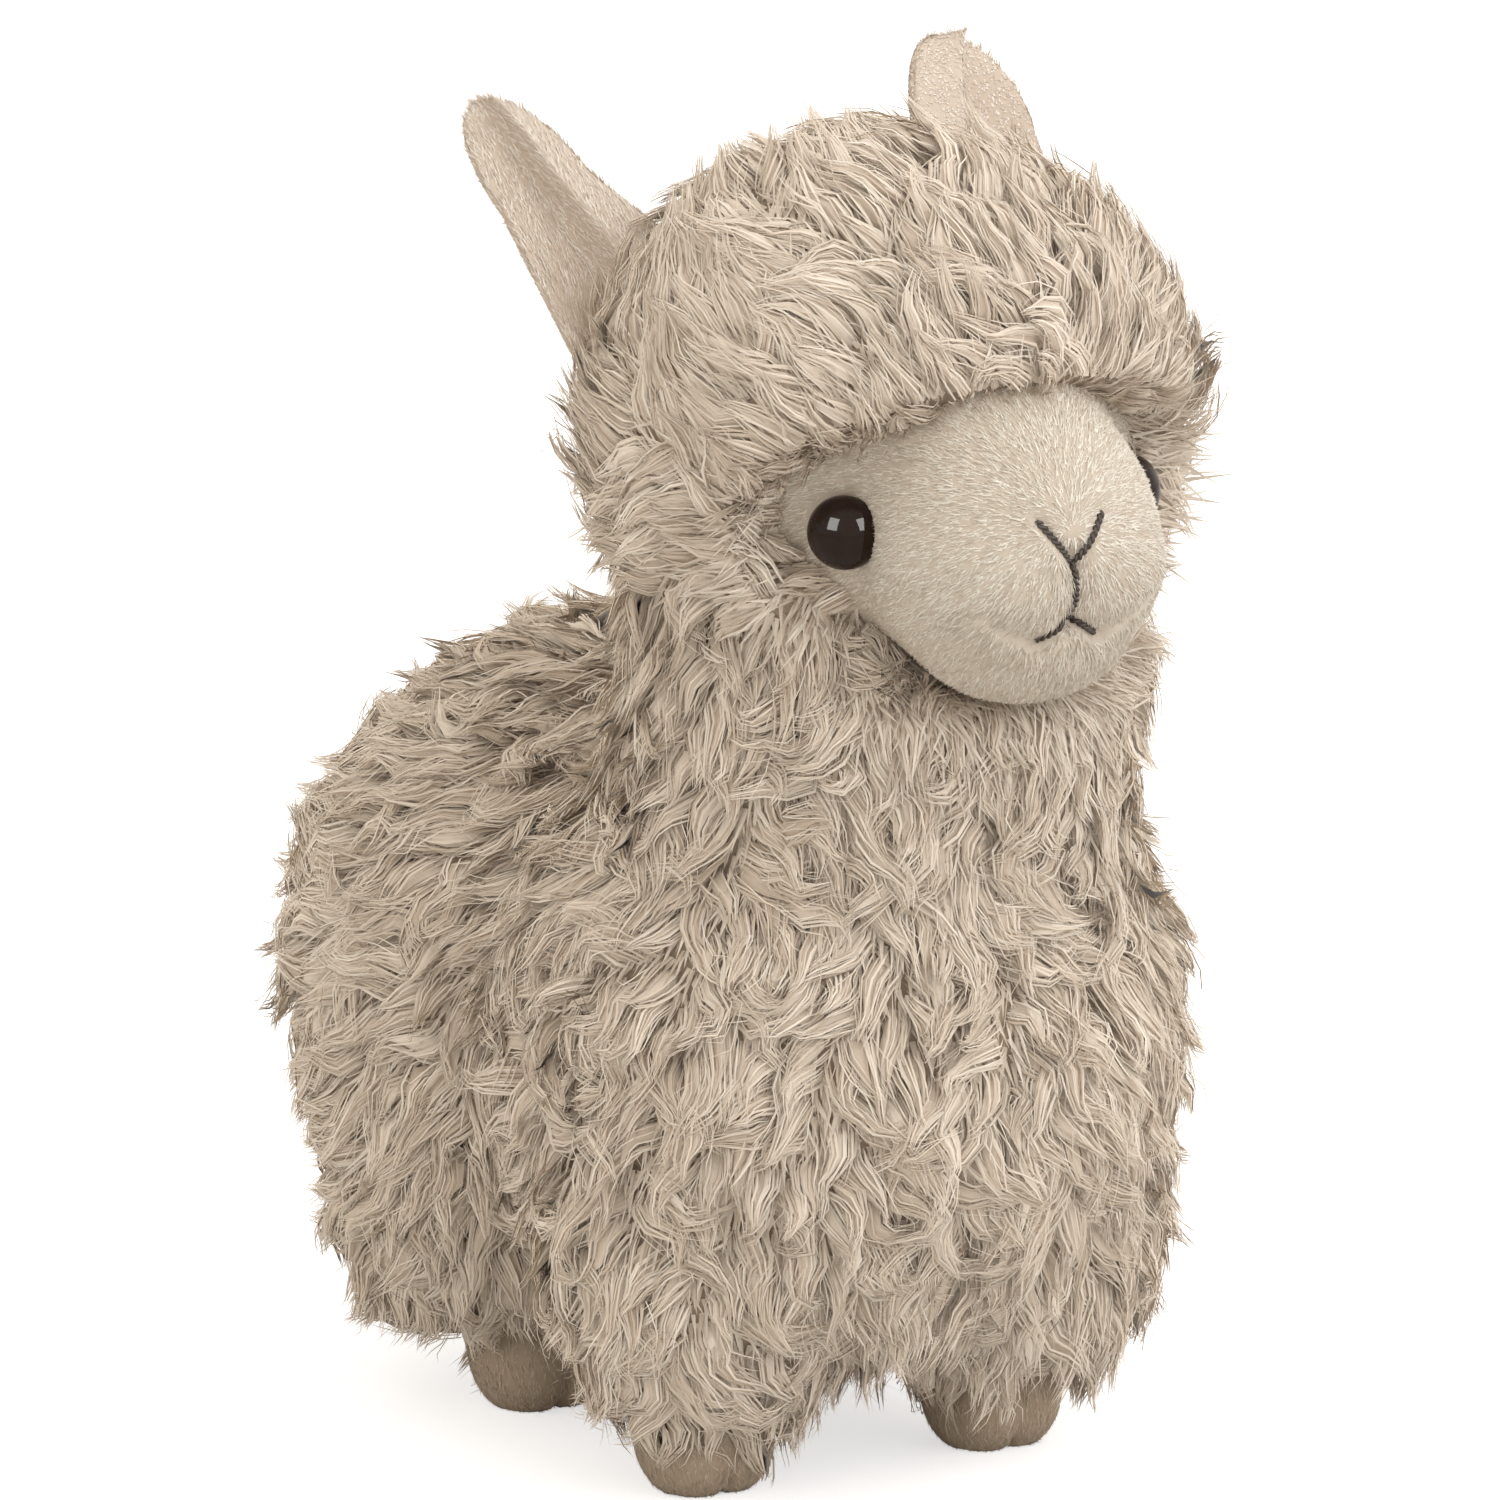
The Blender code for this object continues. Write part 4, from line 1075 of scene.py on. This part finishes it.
def make_ears():
    for index, (name, side) in enumerate(SIDES.items()):
        flow = unit(np.array(mirrored(EAR_TIP, side)) - np.array(mirrored(EAR_BASE, side)))
        for layer, front in (("lining", True), ("outer", False)):
            label = f"ear_{layer}_{name}"
            look = (EAR, "ear_plush", label)
            skin = ear_skin(f"{label}_cloth", side, front, look)
            surface_pile(f"{label}_pile", skin, flow, *EAR_PILE, 60 + index + 10 * front, look)


# Feet

def seamed_foot_field(points, leg, side):
    """A foot with the groove of its seam down the front and a flat sole."""
    x, y = LEGS[leg]["foot"]
    field = foot_field(points, leg, side)
    across = points[:, 0] - x * side
    front = smoothstep(y + 0.002, y - 0.006, points[:, 1])
    seamed = field + front * SEAM_DEPTH * np.exp(-((across / SEAM_WIDTH) ** 2))
    return np.maximum(seamed, -points[:, 2])


def make_feet():
    for index, leg in enumerate(LEGS):
        for name, side in SIDES.items():
            x, y = LEGS[leg]["foot"]
            label = f"{leg}_{name}_foot"
            field = functools.partial(seamed_foot_field, leg=leg, side=side)
            look = (FOOT, "foot_plush", label)
            foot = star(label + "_cloth", (x * side, y, FOOT_MIDDLE), field, 48, 60, 0.0, look)
            surface_pile(label + "_pile", foot, FOOT_COMBING, *FOOT_PILE, 80 + index + side, look)


# Setting

def make_floor():
    bpy.ops.mesh.primitive_plane_add(size=6, location=(0, 0, 0))
    floor = bpy.context.object
    floor.name = "floor"
    made, tree, shader = new_material("floor_white", {
        "Base Color": (0.64, 0.63, 0.62, 1),
        "Roughness": 0.9,
        "Emission Color": (0.62, 0.62, 0.62, 1),
    })
    path = tree.nodes.new("ShaderNodeLightPath")
    tree.links.new(path.outputs["Is Camera Ray"], shader.inputs["Emission Strength"])
    floor.data.materials.append(made)


def make_world():
    world = bpy.data.worlds.new("studio")
    world.use_nodes = True
    tree = world.node_tree
    background = tree.nodes["Background"]
    set_inputs(background, {"Color": (1.0, 0.957, 0.90, 1), "Strength": 1.10})
    seen = node(tree, "ShaderNodeBackground", Color=(1, 1, 1, 1), Strength=1.0)
    link = tree.links.new
    path = tree.nodes.new("ShaderNodeLightPath")
    mix = tree.nodes.new("ShaderNodeMixShader")
    link(path.outputs["Is Camera Ray"], mix.inputs["Fac"])
    link(background.outputs[0], mix.inputs[1])
    link(seen.outputs[0], mix.inputs[2])
    link(mix.outputs[0], tree.nodes["World Output"].inputs["Surface"])
    SCENE.world = world
    SCENE.cycles.max_bounces = 10
    SCENE.cycles.diffuse_bounces = 8


CAMERA_TURN = math.radians(30)
CAMERA_RISE = math.radians(15)
CAMERA_DISTANCE = 6.0
SENSOR_WIDTH = 36
IMAGE_SIDE = 1500
PIXEL = 0.00016
FEET_PIXEL = (838, 1458)


def camera_axes():
    back = Vector((
        -math.sin(CAMERA_TURN) * math.cos(CAMERA_RISE),
        -math.cos(CAMERA_TURN) * math.cos(CAMERA_RISE),
        math.sin(CAMERA_RISE),
    ))
    right = Vector((math.cos(CAMERA_TURN), -math.sin(CAMERA_TURN), 0))
    return right, back.cross(right), back


def make_camera():
    """The photograph's view: from the toy's right front, a little above, through a long lens."""
    right, up, back = camera_axes()
    centre = Vector(FRONT_FEET)
    centre += right * ((IMAGE_SIDE / 2 - FEET_PIXEL[0]) * PIXEL)
    centre += up * ((FEET_PIXEL[1] - IMAGE_SIDE / 2) * PIXEL)
    data = bpy.data.cameras.new("camera")
    data.sensor_width = SENSOR_WIDTH
    data.lens = SENSOR_WIDTH * CAMERA_DISTANCE / (IMAGE_SIDE * PIXEL)
    data.clip_end = 50
    camera = bpy.data.objects.new("camera", data)
    SCENE.collection.objects.link(camera)
    turn = Matrix((right, up, back)).transposed().to_4x4()
    camera.matrix_world = Matrix.Translation(centre + back * CAMERA_DISTANCE) @ turn
    SCENE.camera = camera


def make_light(name, place, target, size, energy, colour=(1, 1, 1)):
    data = bpy.data.lights.new(name, "AREA")
    data.shape = "RECTANGLE"
    data.size, data.size_y = size
    data.energy = energy
    data.color = colour
    made = bpy.data.objects.new(name, data)
    SCENE.collection.objects.link(made)
    made.location = place
    made.rotation_euler = (Vector(target) - Vector(place)).to_track_quat("-Z", "Y").to_euler()
    return made


def make_lights():
    target = (0, 0, 0.10)
    key = make_light("key_softbox", (0.52, -1.05, 0.98), target, (1.1, 1.1), 7.2, (0.95, 1.0, 1.08))
    top = make_light("top_softbox", (0.10, -0.30, 1.2), target, (0.9, 0.9), 1.5)
    for softbox in (key, top):
        softbox.visible_glossy = False
    for name, place in (("left_window", (-1.12, -0.42, 0.72)), ("right_window", (0.36, -1.14, 0.72))):
        window = make_light(name, place, target, (0.62, 0.72), 27.0, (1, 0.985, 0.96))
        window.visible_diffuse = False


make_backing()
ON_PELT = pelt_points()
make_locks(ON_PELT)
make_undercoat(ON_PELT)
make_face()
make_eyes()
make_stitches()
make_ears()
make_feet()
for NAMES, FINISH in (
    (("eye_washer_left", "eye_washer_right"), WASHER),
    (("torso_stuffing", "head_stuffing"), UNDER),
):
    for NAME in NAMES:
        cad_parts[NAME].data.materials.clear()
        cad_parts[NAME].data.materials.append(FINISH)
make_floor()
make_world()
make_camera()
make_lights()
SCENE.view_settings.view_transform = "Standard"
